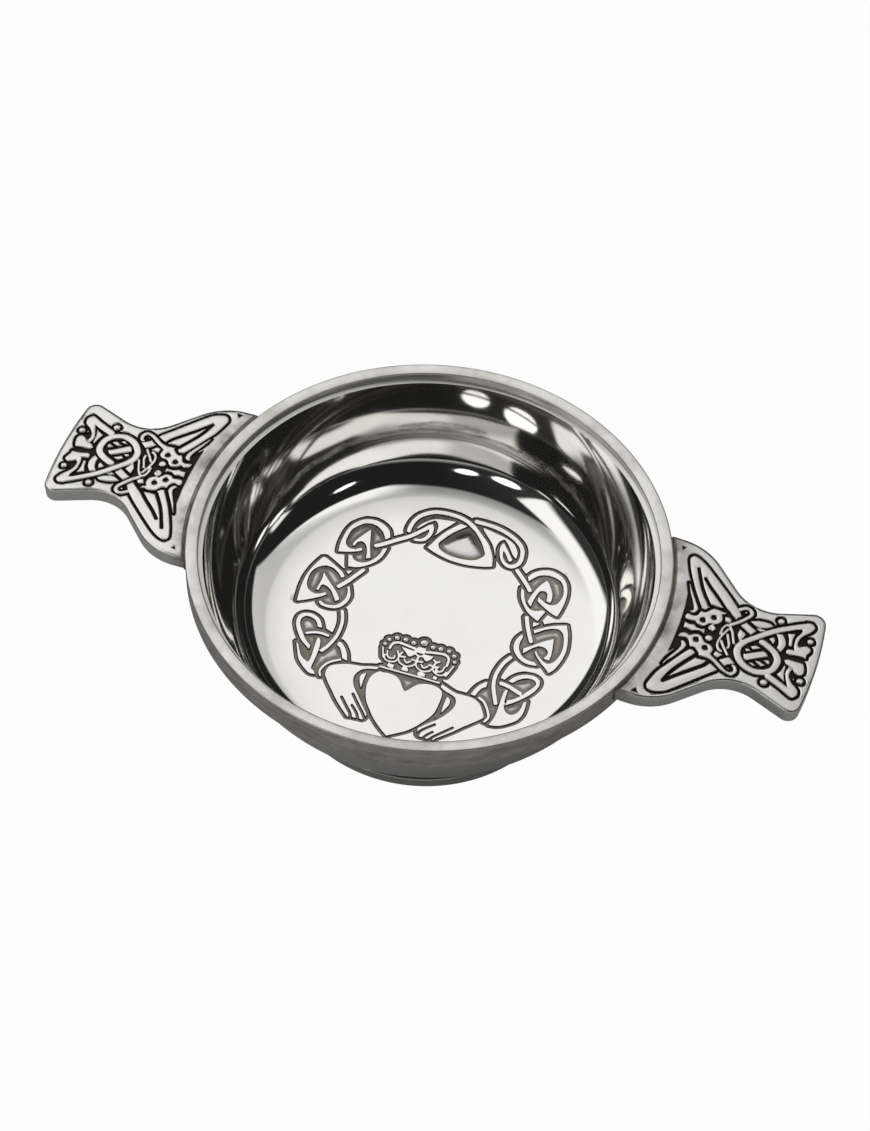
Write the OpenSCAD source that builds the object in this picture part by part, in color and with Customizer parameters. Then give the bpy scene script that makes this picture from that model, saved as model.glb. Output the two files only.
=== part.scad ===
// Quaich: a shallow two-lugged drinking bowl in polished pewter.
// A thin spun bowl sits inside a turned rim band, stands on a flared foot ring
// and is carried by two cast flat lugs. Every joint is a run of soft solder.
// The origin is under the middle of the foot, +Z is up and +X runs through the lugs.

/* [Bowl] */
// Outer diameter over the rim band
rim_d = 102; // [90:0.5:120]
// Height from the standing ring to the top of the rim
total_h = 43; // [38:0.5:50]
// Depth from the top of the rim to the middle of the bowl's floor
bowl_depth = 27.2; // [22:0.1:31]
// Radius of the flat middle of the floor
floor_r = 24.5; // [22:0.5:28]
// Width of the ring round that flat middle in which the floor starts to rise
rise_w = 10; // [6:0.5:12]
// Radius of that slow rise, seen from the side
rise_r = 82; // [60:1:120]
// Radius of the cove where the floor turns up into the wall
cove_r = 10.2; // [7:0.2:13]
// Radius of the wall's slow curve from the cove to the lip
wall_r = 42; // [40:1:90]
// Thickness of the spun metal
shell_t = 1; // [0.8:0.05:1.8]

/* [Rim band] */
// Width of the flat top of the rim
rim_w = 2.7; // [2:0.1:4]
// Height of the band's upright outer face
band_h = 6; // [4.5:0.5:9]
// Depth of the bowl's lip below the top of the rim
lip_drop = 2.1; // [1:0.1:3]
// Width of the small bevel along the band's edges
band_bevel = 0.35; // [0.1:0.05:0.8]

/* [Foot ring] */
// Diameter of the foot at its standing edge
foot_d = 63.8; // [56:0.2:70]
// Height of the upright edge of the foot
foot_edge_h = 2.4; // [1.5:0.1:4]
// Diameter of the foot at its narrow neck
foot_neck_d = 49; // [44:0.5:52]
// Radius of the foot's hollow side, seen from the side
foot_side_r = 11; // [8:0.5:14]
// Thickness of the foot's metal
foot_t = 1.8; // [1.2:0.1:2.6]
// Width of the flat ring that the foot stands on
stand_w = 3.9; // [3:0.1:6]

/* [Lugs] */
// Distance that a lug stands out from the rim
lug_out = 32.6; // [28:0.2:40]
// Thickness of a lug
lug_t = 3.8; // [2.6:0.1:4.4]
// Width of a lug across its shoulders, against the bowl
lug_shoulder_w = 42; // [38:0.5:48]
// Distance inside the rim at which the shoulders are widest
lug_shoulder_in = 1.5; // [0:0.1:3]
// Radius of a rounded shoulder
lug_shoulder_r = 12.7; // [9:0.1:14]
// Width of a lug at its waist
lug_waist_w = 19.6; // [16:0.2:23]
// Distance from the rim to the waist
lug_waist_out = 19; // [17:0.2:21]
// Radius of the hollow at the waist
lug_waist_r = 9.5; // [7:0.5:11]
// Width of a lug at its tip
lug_tip_w = 25.8; // [22:0.2:29]
// Radius of the rounded corners of the tip
lug_corner_r = 2.4; // [1.2:0.2:4]
// Angle by which a lug droops from the rim to its tip
lug_droop = 2.8; // [0:0.1:6]
// Depth of a lug's top face below the rim, where they meet
lug_set = 0.25; // [0.25:0.05:1]

/* [Solder] */
// Width of the solder seam between a lug and the rim band
seam_w = 0.3; // [0.2:0.05:0.6]
// Depth of the open groove above that seam
seam_groove = 0.7; // [0.3:0.1:1.2]
// Size of the solder fillets under the band and round the foot
fillet_w = 1.2; // [0.6:0.1:1.8]

/* [Hidden] */
$fn = 256;
arc_steps = 24;

polished = [0.80, 0.79, 0.77];
satin = [0.66, 0.65, 0.63];
solder = [0.42, 0.40, 0.37];

rim_r = rim_d / 2;
lip_r = rim_r - rim_w;
lip_z = total_h - lip_drop;
// The bowl's lip reaches this far under the band's inner edge
lip_under = 0.1;
band_z = total_h - band_h;
floor_z = total_h - bowl_depth;
under_z = floor_z - shell_t;
hair = 0.001;

// Centres of the arcs in the bowl's section: the rise leaves the flat floor, the cove carries it on,
// and the wall's arc touches the cove and passes through the lip's outer edge.
rise_a = asin(rise_w / rise_r) - 90;
rise_c = [floor_r, floor_z + rise_r];
cove_c = rise_c + (rise_r - cove_r) * toward(rise_a);
wall_c = meet([lip_r + lip_under, lip_z], wall_r + shell_t, cove_c, wall_r - cove_r);
join_a = bearing(cove_c - wall_c);

// The foot's hollow side touches the neck and the top of the standing edge.
foot_r = foot_d / 2;
foot_c = [foot_neck_d / 2 + foot_side_r,
          foot_edge_h + sqrt(pow(foot_side_r, 2) - pow(foot_d / 2 - foot_neck_d / 2 - foot_side_r, 2))];
foot_top_r = foot_c[0] - sqrt(pow(foot_side_r, 2) - pow(under_z - foot_c[1], 2));

// Centres of the arcs in a lug's outline on the side of +Y,
// and the directions in which the straight stretches leave them.
tip_r = rim_r + lug_out;
shoulder_c = [rim_r - lug_shoulder_in, lug_shoulder_w / 2 - lug_shoulder_r];
corner_y = lug_tip_w / 2 - lug_corner_r;
corner_c = [sqrt(pow(tip_r - lug_corner_r, 2) - pow(corner_y, 2)), corner_y];
waist_x = rim_r + lug_waist_out;
hollow_share = 0.95;
waist_r = min(lug_waist_r,
              hollow_share * widest_hollow(shoulder_c, lug_shoulder_r),
              hollow_share * widest_hollow(corner_c, lug_corner_r));
waist_c = [waist_x, lug_waist_w / 2 + waist_r];
shoulder_n = crossed_tangent(shoulder_c, lug_shoulder_r, waist_c, waist_r, 1);
corner_n = crossed_tangent(corner_c, lug_corner_r, waist_c, waist_r, -1);

// Unit vector at an angle, and the angle of a vector
function toward(a) = [cos(a), sin(a)];
function bearing(v) = atan2(v[1], v[0]);

// Crossing point of two circles, on the side nearer the bowl's axis
function meet(a, ra, b, rb) =
    let (d = norm(b - a),
         along = (ra * ra - rb * rb + d * d) / (2 * d),
         off = sqrt(ra * ra - along * along),
         way = (b - a) / d)
    a + along * way + off * [way[1], -way[0]];

// Direction from a's centre to where the crossed tangent of two circles leaves a
function crossed_tangent(a, ra, b, rb, side) =
    toward(bearing(b - a) + side * acos((ra + rb) / norm(b - a)));

// Radius of the hollow at the waist that just touches a rounded corner beside it
function widest_hollow(c, r) =
    let (rise = lug_waist_w / 2 - c[1])
    (pow(waist_x - c[0], 2) + rise * rise - r * r) / (2 * (r - rise));

// Points along an arc from one angle to another
function arc(c, r, a0, a1) =
    [for (i = [0:arc_steps]) c + r * toward(a0 + (a1 - a0) * i / arc_steps)];

// Sector of a disc between two angles
module sector(c, r, a0, a1) {
    reach = 2 * r;
    intersection() {
        translate(c) circle(r);
        polygon([c, c + reach * toward(a0), c + reach * toward((a0 + a1) / 2), c + reach * toward(a1)]);
    }
}

// Half section of the space inside the bowl, grown by t and carried up to the level of the lip.
// The cove is a hair fuller than the arcs that it touches, so that it crosses them cleanly.
module bowl_space(t) {
    lip_a = asin((lip_z - wall_c[1]) / (wall_r + t));
    polygon([[0, floor_z - t], [floor_r, floor_z - t], [floor_r + rise_w / 2, lip_z], [0, lip_z]]);
    sector(cove_c, cove_r + t + hair, rise_a - 2, join_a + 2);
    intersection() {
        union() {
            sector(rise_c, rise_r + t, -90, rise_a);
            sector(wall_c, wall_r + t, join_a, lip_a + 2);
        }
        square([rim_r, lip_z]);
    }
}

// Spun bowl: dished floor, cove and wall of one thickness, with a flat lip
module bowl() {
    color(polished) rotate_extrude() difference() {
        bowl_space(shell_t);
        bowl_space(0);
    }
}

// Turned band round the rim, rebated underneath to seat the bowl's lip
module rim_band() {
    color(satin) rotate_extrude() difference() {
        polygon([[lip_r, total_h - band_bevel],
                 [lip_r, lip_z],
                 [lip_r - rim_w, lip_z],
                 [lip_r - rim_w, band_z],
                 [rim_r - band_bevel, band_z],
                 [rim_r, band_z + band_bevel],
                 [rim_r, total_h - band_bevel],
                 [rim_r - band_bevel, total_h],
                 [lip_r + band_bevel, total_h]]);
        bowl_space(shell_t);
    }
}

// Solder fillet in the corner between the band's underside and the bowl
module rim_solder() {
    corner_r = wall_c[0] + sqrt(pow(wall_r + shell_t, 2) - pow(band_z - wall_c[1], 2));
    color(solder) rotate_extrude() difference() {
        polygon([[corner_r - fillet_w, band_z],
                 [corner_r + fillet_w, band_z],
                 [corner_r - fillet_w, band_z - 2 * fillet_w]]);
        bowl_space(shell_t);
    }
}

// Section of the foot's thin side, from the standing edge up to the bowl
module foot_side() {
    difference() {
        translate(foot_c) circle(foot_side_r + foot_t);
        translate(foot_c) circle(foot_side_r);
    }
}

// Flared foot: an upright standing edge under a hollow side, open underneath
module foot_ring() {
    color(satin) rotate_extrude() {
        intersection() {
            foot_side();
            square([foot_r, under_z]);
        }
        translate([foot_r - stand_w, 0]) square([stand_w, foot_edge_h]);
    }
}

// Solder fillet between the foot and the underside of the bowl
module foot_solder() {
    color(solder) rotate_extrude() difference() {
        polygon([[foot_top_r - foot_t / 2, under_z],
                 [foot_top_r + fillet_w, under_z],
                 [foot_top_r - foot_t / 2, under_z - fillet_w - foot_t / 2]]);
        foot_side();
    }
}

// Outline of a lug, carried in to the bowl's axis
module lug_outline() {
    tip_a = bearing(corner_c);
    half = concat([[0, lug_shoulder_w / 2]],
                  arc(shoulder_c, lug_shoulder_r, 90, bearing(shoulder_n)),
                  arc(waist_c, waist_r, bearing(shoulder_n) + 180, bearing(corner_n) + 180),
                  arc(corner_c, lug_corner_r, bearing(corner_n), tip_a));
    tip = arc([0, 0], tip_r, tip_a, -tip_a);
    inner_tip = [for (i = [1:arc_steps - 1]) tip[i]];
    other_half = [for (i = [len(half) - 1:-1:0]) [half[i][0], -half[i][1]]];
    polygon(concat(half, inner_tip, other_half));
}

// Flat slab with the lug's outline, drooping from the rim, from a depth below its top face
module lug_slab(depth, thick) {
    translate([rim_r, 0, total_h - lug_set])
        rotate([0, lug_droop, 0])
            translate([-rim_r, 0, -depth - thick])
                linear_extrude(thick) lug_outline();
}

// Cast lug, hollowed at its inner end to follow the rim
module lug() {
    color(satin) difference() {
        lug_slab(0, lug_t);
        cylinder(h = 2 * total_h, r = rim_r + seam_w);
    }
}

// Solder that fills the seam between a lug and the band, below its open groove
module lug_solder() {
    color(solder) difference() {
        intersection() {
            lug_slab(seam_groove, lug_t - seam_groove);
            cylinder(h = 2 * total_h, r = rim_r + seam_w);
        }
        cylinder(h = 2 * total_h, r = rim_r);
    }
}

module right_lug() {
    lug();
}

module right_lug_solder() {
    lug_solder();
}

module left_lug() {
    rotate([0, 0, 180]) lug();
}

module left_lug_solder() {
    rotate([0, 0, 180]) lug_solder();
}

bowl();
rim_band();
rim_solder();
foot_ring();
foot_solder();
right_lug();
right_lug_solder();
left_lug();
left_lug_solder();
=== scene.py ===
# A pewter quaich, the shallow two-lugged drinking bowl: a spun bowl, a rim band, a foot ring and cast lugs.
import math

import bmesh
import bpy
import numpy as np
from mathutils import Matrix
from mathutils import Quaternion
from mathutils import Vector
from mathutils.geometry import delaunay_2d_cdt


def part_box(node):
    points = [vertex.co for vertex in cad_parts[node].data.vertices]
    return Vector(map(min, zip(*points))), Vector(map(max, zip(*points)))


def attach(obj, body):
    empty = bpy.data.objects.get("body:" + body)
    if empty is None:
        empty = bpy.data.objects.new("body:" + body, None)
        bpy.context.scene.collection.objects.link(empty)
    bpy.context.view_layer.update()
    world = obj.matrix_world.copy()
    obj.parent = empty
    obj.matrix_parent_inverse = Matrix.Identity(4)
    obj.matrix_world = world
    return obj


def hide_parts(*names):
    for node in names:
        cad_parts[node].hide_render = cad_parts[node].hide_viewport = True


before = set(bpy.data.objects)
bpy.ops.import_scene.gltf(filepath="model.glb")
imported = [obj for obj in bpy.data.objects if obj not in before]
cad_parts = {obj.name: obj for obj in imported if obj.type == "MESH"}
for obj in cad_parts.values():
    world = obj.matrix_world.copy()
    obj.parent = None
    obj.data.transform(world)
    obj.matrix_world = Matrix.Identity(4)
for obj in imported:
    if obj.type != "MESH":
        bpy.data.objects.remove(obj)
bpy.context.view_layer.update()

# Bowl wall: a pewter disc spun over a former into a gently dished floor, a round cove and a curved wall.
# Its inside is polished to a mirror, and its lip is seated in the rim band and soldered from below.
mm = 0.001
pole_gap = 0.0005 * mm
weld_gap = 0.0008 * mm
round_steps = 360
arc_steps = 28
rise_steps = 10
shell_t = 1.0
floor_r = 24.5
rise_w = 10.0
rise_r = 82.0
cove_r = 10.2
wall_r = 42.0
lip_chamfer = 0.22
under_rings = (23.5, 12.0, 4.0, 0.0)
struck_r = floor_r + rise_w
bowl_low, bowl_high = [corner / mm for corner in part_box("bowl")]
lip_r = bowl_high.x
lip_z = bowl_high.z
under_z = bowl_low.z
floor_z = under_z + shell_t
rise_turn = math.asin(rise_w / rise_r)


def circle_meeting(first, first_r, second, second_r):
    """The left one of the two points that lie first_r from the first point and second_r from the second."""
    first = Vector(first)
    between = Vector(second) - first
    along = (between.length_squared + first_r ** 2 - second_r ** 2) / (2 * between.length)
    across = math.sqrt(first_r ** 2 - along ** 2)
    direction = between.normalized()
    return first + along * direction + across * Vector((-direction.y, direction.x))


def arc(centre, radius, start, end, steps=arc_steps):
    """Points of a circle from one angle to another, in degrees."""
    turns = [math.radians(start + (end - start) * i / steps) for i in range(steps + 1)]
    return [(centre[0] + radius * math.cos(t), centre[1] + radius * math.sin(t)) for t in turns]


def angle_of(centre, point):
    return math.degrees(math.atan2(point[1] - centre[1], point[0] - centre[0]))


def new_tree(name, kind, inputs, outputs):
    """An empty node tree with named sockets, and its input and output nodes."""
    tree = bpy.data.node_groups.new(name, kind)
    for in_out, sockets in (("INPUT", inputs), ("OUTPUT", outputs)):
        for word, sort in sockets.items():
            tree.interface.new_socket(word, in_out=in_out, socket_type="NodeSocket" + sort)
    return tree, tree.nodes.new("NodeGroupInput"), tree.nodes.new("NodeGroupOutput")


def spinning_tree():
    """A section beside the axis, turned once round it."""
    ins = {"Section": "Geometry", "Steps": "Int", "Path radius": "Float", "Finish": "Material"}
    tree, given, result = new_tree("spun section", "GeometryNodeTree", ins, {"Spun metal": "Geometry"})
    nodes = tree.nodes
    section = nodes.new("GeometryNodeMeshToCurve")
    path = nodes.new("GeometryNodeCurvePrimitiveCircle")
    upright = nodes.new("GeometryNodeSetCurveNormal")
    upright.mode = "Z_UP"
    sweep = nodes.new("GeometryNodeCurveToMesh")
    pole = nodes.new("GeometryNodeMergeByDistance")
    pole.inputs["Distance"].default_value = pole_gap
    realized = nodes.new("GeometryNodeRealizeInstances")
    finish = nodes.new("GeometryNodeSetMaterial")
    join = tree.links.new
    join(given.outputs["Section"], section.inputs["Mesh"])
    join(given.outputs["Steps"], path.inputs["Resolution"])
    join(given.outputs["Path radius"], path.inputs["Radius"])
    join(path.outputs["Curve"], upright.inputs["Curve"])
    join(upright.outputs["Curve"], sweep.inputs["Curve"])
    join(section.outputs["Curve"], sweep.inputs["Profile Curve"])
    join(sweep.outputs["Mesh"], pole.inputs["Geometry"])
    join(pole.outputs["Geometry"], realized.inputs["Geometry"])
    join(realized.outputs["Geometry"], finish.inputs["Geometry"])
    join(given.outputs["Finish"], finish.inputs["Material"])
    join(finish.outputs["Geometry"], result.inputs["Spun metal"])
    return tree


spun_section = spinning_tree()


def grown(piece, tree, **inputs):
    """Runs a node tree on a piece and keeps the result as its plain mesh."""
    modifier = piece.modifiers.new(tree.name, "NODES")
    modifier.node_group = tree
    for socket in tree.interface.items_tree:
        word = socket.name.lower().replace(" ", "_")
        if socket.in_out == "INPUT" and word in inputs:
            modifier[socket.identifier] = inputs[word]
    evaluated = piece.evaluated_get(bpy.context.evaluated_depsgraph_get())
    made = bpy.data.meshes.new_from_object(evaluated)
    piece.modifiers.remove(modifier)
    piece.data = made
    return piece


def new_piece(name, points, edges=(), faces=()):
    mesh = bpy.data.meshes.new(name)
    mesh.from_pydata([tuple(c * mm for c in p) for p in points], list(edges), list(faces))
    piece = bpy.data.objects.new(name, mesh)
    bpy.context.collection.objects.link(piece)
    return piece


def outward(mesh):
    """Merges doubled points and turns every face of a closed skin outwards."""
    skin = bmesh.new()
    skin.from_mesh(mesh)
    bmesh.ops.remove_doubles(skin, verts=skin.verts, dist=weld_gap)
    bmesh.ops.recalc_face_normals(skin, faces=skin.faces)
    skin.to_mesh(mesh)
    skin.free()


def smooth(mesh, crease=24):
    """Smooth faces that stay crisp where they meet at more than the crease angle, in degrees."""
    mesh.shade_smooth()
    mesh.set_sharp_from_angle(angle=math.radians(crease))


def spun(name, section, closed, material):
    """A turned piece from its half section of radius and height pairs, in millimetres."""
    path_r = 40.0
    count = len(section)
    points = [(r - path_r, -z, 0.0) for r, z in section]
    edges = [(i, (i + 1) % count) for i in range(count if closed else count - 1)]
    piece = new_piece(name, points, edges)
    grown(piece, spun_section, steps=round_steps, path_radius=path_r * mm, finish=material)
    if closed:
        outward(piece.data)
        smooth(piece.data)
    return piece


cove_c = (floor_r + (rise_r - cove_r) * math.sin(rise_turn),
          floor_z + rise_r - (rise_r - cove_r) * math.cos(rise_turn))
wall_c = circle_meeting(cove_c, wall_r - cove_r, (lip_r, lip_z), wall_r + shell_t)
join_turn = angle_of(wall_c, cove_c)
lip_turn = math.degrees(math.asin((lip_z - lip_chamfer - wall_c.y) / wall_r))
lip_outer_turn = angle_of(wall_c, (lip_r, lip_z))
cove_turn = math.degrees(rise_turn) - 90
bowl_section = arc(cove_c, cove_r, cove_turn, join_turn)
bowl_section += arc(wall_c, wall_r, join_turn, lip_turn)[1:]
bowl_section += arc(wall_c, wall_r + shell_t, lip_outer_turn, join_turn)
bowl_section += arc(cove_c, cove_r + shell_t, join_turn, cove_turn)[1:]
bowl_section += arc((floor_r, floor_z + rise_r), rise_r + shell_t, cove_turn, -90, rise_steps)[1:]
bowl_section += [(r, under_z) for r in under_rings]


def put(tree, socket, value):
    """Links a socket to another one, or sets it to a plain number or colour."""
    if isinstance(value, bpy.types.NodeSocket):
        tree.links.new(value, socket)
    elif value is not None:
        socket.default_value = (*value, 1.0) if isinstance(value, tuple) else value


def math_node(tree, operation, first, second=None, clamp=False):
    """A math node on sockets or plain numbers, as its result socket."""
    made = tree.nodes.new("ShaderNodeMath")
    made.operation = operation
    made.use_clamp = clamp
    put(tree, made.inputs[0], first)
    put(tree, made.inputs[1], second)
    return made.outputs[0]


def noise(tree, where, scale, detail=3.0, roughness=0.5, stretch=None):
    """Fractal noise at a place, as a value from about 0 to 1; stretch scales the axes first."""
    if stretch:
        mapping = tree.nodes.new("ShaderNodeMapping")
        mapping.inputs["Scale"].default_value = stretch
        tree.links.new(where, mapping.inputs["Vector"])
        where = mapping.outputs["Vector"]
    made = tree.nodes.new("ShaderNodeTexNoise")
    put(tree, made.inputs["Scale"], scale)
    made.inputs["Detail"].default_value = detail
    made.inputs["Roughness"].default_value = roughness
    tree.links.new(where, made.inputs["Vector"])
    return made.outputs["Fac"]


def axis_distance(tree, split):
    """Distance from the bowl's upright axis, from a place that is split into its parts."""
    across = math_node(tree, "MULTIPLY", split.outputs["X"], split.outputs["X"])
    along = math_node(tree, "MULTIPLY", split.outputs["Y"], split.outputs["Y"])
    return math_node(tree, "SQRT", math_node(tree, "ADD", across, along))


def split_place(tree, where):
    split = tree.nodes.new("ShaderNodeSeparateXYZ")
    tree.links.new(where, split.inputs["Vector"])
    return split


def mixed(tree, factor, first, second):
    """Two colours mixed by a factor; each may be a socket or a plain colour."""
    made = tree.nodes.new("ShaderNodeMix")
    made.data_type = "RGBA"
    put(tree, made.inputs[0], factor)
    put(tree, made.inputs[6], first)
    put(tree, made.inputs[7], second)
    return made.outputs[2]


def make_buffing():
    """Hairline marks and hand smears left by the polishing wheel and the cloth."""
    ins = {"Place": "Vector", "Base": "Float", "Smear": "Float"}
    outs = {"Roughness": "Float", "Height": "Float"}
    tree, given, result = new_tree("buffing marks", "ShaderNodeTree", ins, outs)
    where = given.outputs["Place"]
    broad = noise(tree, where, scale=55, detail=4)
    hair_a = noise(tree, where, scale=900, detail=2, stretch=(1.0, 0.06, 1.0))
    hair_b = noise(tree, where, scale=900, detail=2, stretch=(0.06, 1.0, 1.0))
    hairs = math_node(tree, "MULTIPLY", hair_a, hair_b)
    smeared = math_node(tree, "MULTIPLY", broad, given.outputs["Smear"])
    haired = math_node(tree, "MULTIPLY", hairs, given.outputs["Smear"])
    rough = math_node(tree, "ADD", math_node(tree, "ADD", given.outputs["Base"], smeared), haired)
    tree.links.new(rough, result.inputs["Roughness"])
    tree.links.new(hairs, result.inputs["Height"])
    return tree


def make_tarnish():
    """Brown mottling where handling and damp have dulled the metal."""
    ins = {"Place": "Vector", "Metal": "Color", "Brown": "Color", "Amount": "Float"}
    outs = {"Colour": "Color", "Mask": "Float"}
    tree, given, result = new_tree("tarnish", "ShaderNodeTree", ins, outs)
    cloud = noise(tree, given.outputs["Place"], scale=70, detail=5, roughness=0.62)
    spots = noise(tree, given.outputs["Place"], scale=420, detail=3, roughness=0.6)
    cloud = math_node(tree, "MULTIPLY", cloud, 0.75)
    joined = math_node(tree, "ADD", cloud, math_node(tree, "MULTIPLY", spots, 0.25))
    raised = math_node(tree, "SUBTRACT", joined, 0.46)
    sharp = math_node(tree, "MULTIPLY", raised, 5.0, clamp=True)
    mask = math_node(tree, "MULTIPLY", sharp, given.outputs["Amount"], clamp=True)
    colour = mixed(tree, mask, given.outputs["Metal"], given.outputs["Brown"])
    tree.links.new(colour, result.inputs["Colour"])
    tree.links.new(mask, result.inputs["Mask"])
    return tree


def make_patina_and_shade():
    """Oxide left in sunk lines, rubbed away on domed grounds; the banks are painted darker than the beds,
    as shade.
    """
    ins = {"Place": "Vector", "Depth": "Float", "Metal": "Color", "Bank": "Color", "Bed": "Color",
           "Reach": "Float", "Rubbed": "Float"}
    outs = {"Colour": "Color", "Mask": "Float"}
    tree, given, result = new_tree("sunk patina and shade", "ShaderNodeTree", ins, outs)
    depth = given.outputs["Depth"]
    share = math_node(tree, "DIVIDE", depth, given.outputs["Reach"])
    uneven = noise(tree, given.outputs["Place"], scale=700, detail=3, roughness=0.6)
    bed_side = math_node(tree, "MULTIPLY", math_node(tree, "SUBTRACT", share, 0.75), 3.0, clamp=True)
    bed_side = math_node(tree, "MULTIPLY", bed_side, math_node(tree, "ADD", uneven, 0.42), clamp=True)
    # Painted shade: the steep banks of a sunk line take the darker bank tone, and the flat beds take the
    # greyer oxide.
    shaded_bank_side = math_node(tree, "MULTIPLY", math_node(tree, "SUBTRACT", share, 0.08), 4.0, clamp=True)
    dome = math_node(tree, "MULTIPLY", math_node(tree, "SUBTRACT", depth, 0.75), 1.3, clamp=True)
    worn = math_node(tree, "MULTIPLY", dome, given.outputs["Rubbed"])
    left = math_node(tree, "SUBTRACT", shaded_bank_side, worn, clamp=True)
    oxide_and_shade = mixed(tree, bed_side, given.outputs["Bank"], given.outputs["Bed"])
    colour = mixed(tree, left, given.outputs["Metal"], oxide_and_shade)
    tree.links.new(colour, result.inputs["Colour"])
    tree.links.new(left, result.inputs["Mask"])
    return tree


def make_turned_lines():
    """Fine rings left by the lathe, which a cloth has taken off again up to some height."""
    ins = {"Place": "Vector", "Fineness": "Float", "Above": "Float"}
    tree, given, result = new_tree("turned lines", "ShaderNodeTree", ins, {"Height": "Float"})
    split = split_place(tree, given.outputs["Place"])
    ring = tree.nodes.new("ShaderNodeCombineXYZ")
    tree.links.new(axis_distance(tree, split), ring.inputs["X"])
    tree.links.new(split.outputs["Z"], ring.inputs["Y"])
    lines = noise(tree, ring.outputs["Vector"], given.outputs["Fineness"], detail=4, roughness=0.7)
    left = math_node(tree, "GREATER_THAN", split.outputs["Z"], given.outputs["Above"])
    tree.links.new(math_node(tree, "MULTIPLY", lines, left), result.inputs["Height"])
    return tree


def make_dirt():
    """Streaks of dirt beside a seam, thick at the near distance from the axis and gone at the far one."""
    ins = {"Place": "Vector", "Near": "Float", "Far": "Float"}
    tree, given, result = new_tree("gathered dirt", "ShaderNodeTree", ins, {"Mask": "Float"})
    where = given.outputs["Place"]
    radius = axis_distance(tree, split_place(tree, where))
    past = math_node(tree, "SUBTRACT", radius, given.outputs["Far"])
    spread = math_node(tree, "SUBTRACT", given.outputs["Near"], given.outputs["Far"])
    reached = math_node(tree, "DIVIDE", past, spread, clamp=True)
    streaks = noise(tree, where, scale=260, detail=5, roughness=0.7, stretch=(0.5, 0.5, 2.0))
    patchy = math_node(tree, "MULTIPLY", math_node(tree, "SUBTRACT", streaks, 0.32), 2.8, clamp=True)
    gathered = math_node(tree, "MULTIPLY", reached, reached)
    mask = math_node(tree, "MULTIPLY", gathered, patchy, clamp=True)
    tree.links.new(mask, result.inputs["Mask"])
    return tree


buffing_marks = make_buffing()
tarnish = make_tarnish()
sunk_patina_and_shade = make_patina_and_shade()
turned_lines = make_turned_lines()
gathered_dirt = make_dirt()
tarnish_tone = (0.42, 0.36, 0.28)
tarnish_rough = 0.25
oxide_rough = 0.4
dirt_rough = 0.3
bump_depth = 0.02 * mm


def effect(tree, group, **values):
    """A group placed in a material, with its inputs set by name or linked."""
    made = tree.nodes.new("ShaderNodeGroup")
    made.node_tree = group
    for word, value in values.items():
        put(tree, made.inputs[word.capitalize()], value)
    return made


def metal_material(name, tone, rough, smear, stained, bump, oxide_and_shade=None, lines=None, line_rough=0.08,
                   lines_above=-1.0, dirt=None, recess_painted_shade=None):
    """Pewter with its wheel marks and tarnish. Where they are given: the oxide in what is sunk, with its
    banks painted darker than its beds as shade, turned lines above a height, dirt of a tone between two
    radii, and painted shade that darkens a recess to a tone from one height to another by a share.
    Heights and radii are in millimetres."""
    material = bpy.data.materials.new(name)
    material.use_nodes = True
    tree = material.node_tree
    tree.nodes.clear()
    out = tree.nodes.new("ShaderNodeOutputMaterial")
    shader = tree.nodes.new("ShaderNodeBsdfPrincipled")
    shader.inputs["Metallic"].default_value = 1.0
    tree.links.new(shader.outputs["BSDF"], out.inputs["Surface"])
    where = tree.nodes.new("ShaderNodeTexCoord").outputs["Object"]

    def rougher(before, mask, share):
        return math_node(tree, "ADD", before, math_node(tree, "MULTIPLY", mask, share))

    marks = effect(tree, buffing_marks, place=where, base=rough, smear=smear)
    height = marks.outputs["Height"]
    stain = effect(tree, tarnish, place=where, metal=tone, brown=tarnish_tone, amount=stained)
    colour = stain.outputs["Colour"]
    roughness = rougher(marks.outputs["Roughness"], stain.outputs["Mask"], tarnish_rough)
    if oxide_and_shade:
        depth = tree.nodes.new("ShaderNodeAttribute")
        depth.attribute_name = "sunk"
        patina_and_shade = effect(tree, sunk_patina_and_shade, place=where, depth=depth.outputs["Fac"], metal=colour, **oxide_and_shade)
        colour = patina_and_shade.outputs["Colour"]
        roughness = rougher(roughness, patina_and_shade.outputs["Mask"], oxide_rough)
    if lines:
        turned = effect(tree, turned_lines, place=where, fineness=lines, above=lines_above * mm)
        turned = turned.outputs["Height"]
        height = math_node(tree, "ADD", height, turned)
        roughness = rougher(roughness, turned, line_rough)
    if dirt:
        near, far, dirt_tone = dirt
        mask = effect(tree, gathered_dirt, place=where, near=near * mm, far=far * mm).outputs["Mask"]
        colour = mixed(tree, mask, colour, dirt_tone)
        roughness = rougher(roughness, mask, dirt_rough)
    # Painted shade: above a height the colour is pulled towards a near-black shadow tone, standing in for
    # shade in a hollow.
    if recess_painted_shade:
        start, end, shadow_tone, share = recess_painted_shade
        above = math_node(tree, "SUBTRACT", split_place(tree, where).outputs["Z"], start * mm)
        sunk = math_node(tree, "DIVIDE", above, (end - start) * mm, clamp=True)
        colour = mixed(tree, math_node(tree, "MULTIPLY", sunk, share), colour, shadow_tone)
    relief = tree.nodes.new("ShaderNodeBump")
    relief.inputs["Strength"].default_value = bump
    relief.inputs["Distance"].default_value = bump_depth
    tree.links.new(height, relief.inputs["Height"])
    tree.links.new(relief.outputs["Normal"], shader.inputs["Normal"])
    tree.links.new(colour, shader.inputs["Base Color"])
    tree.links.new(roughness, shader.inputs["Roughness"])
    return material


mirror_tone = (0.866, 0.857, 0.835)
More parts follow.
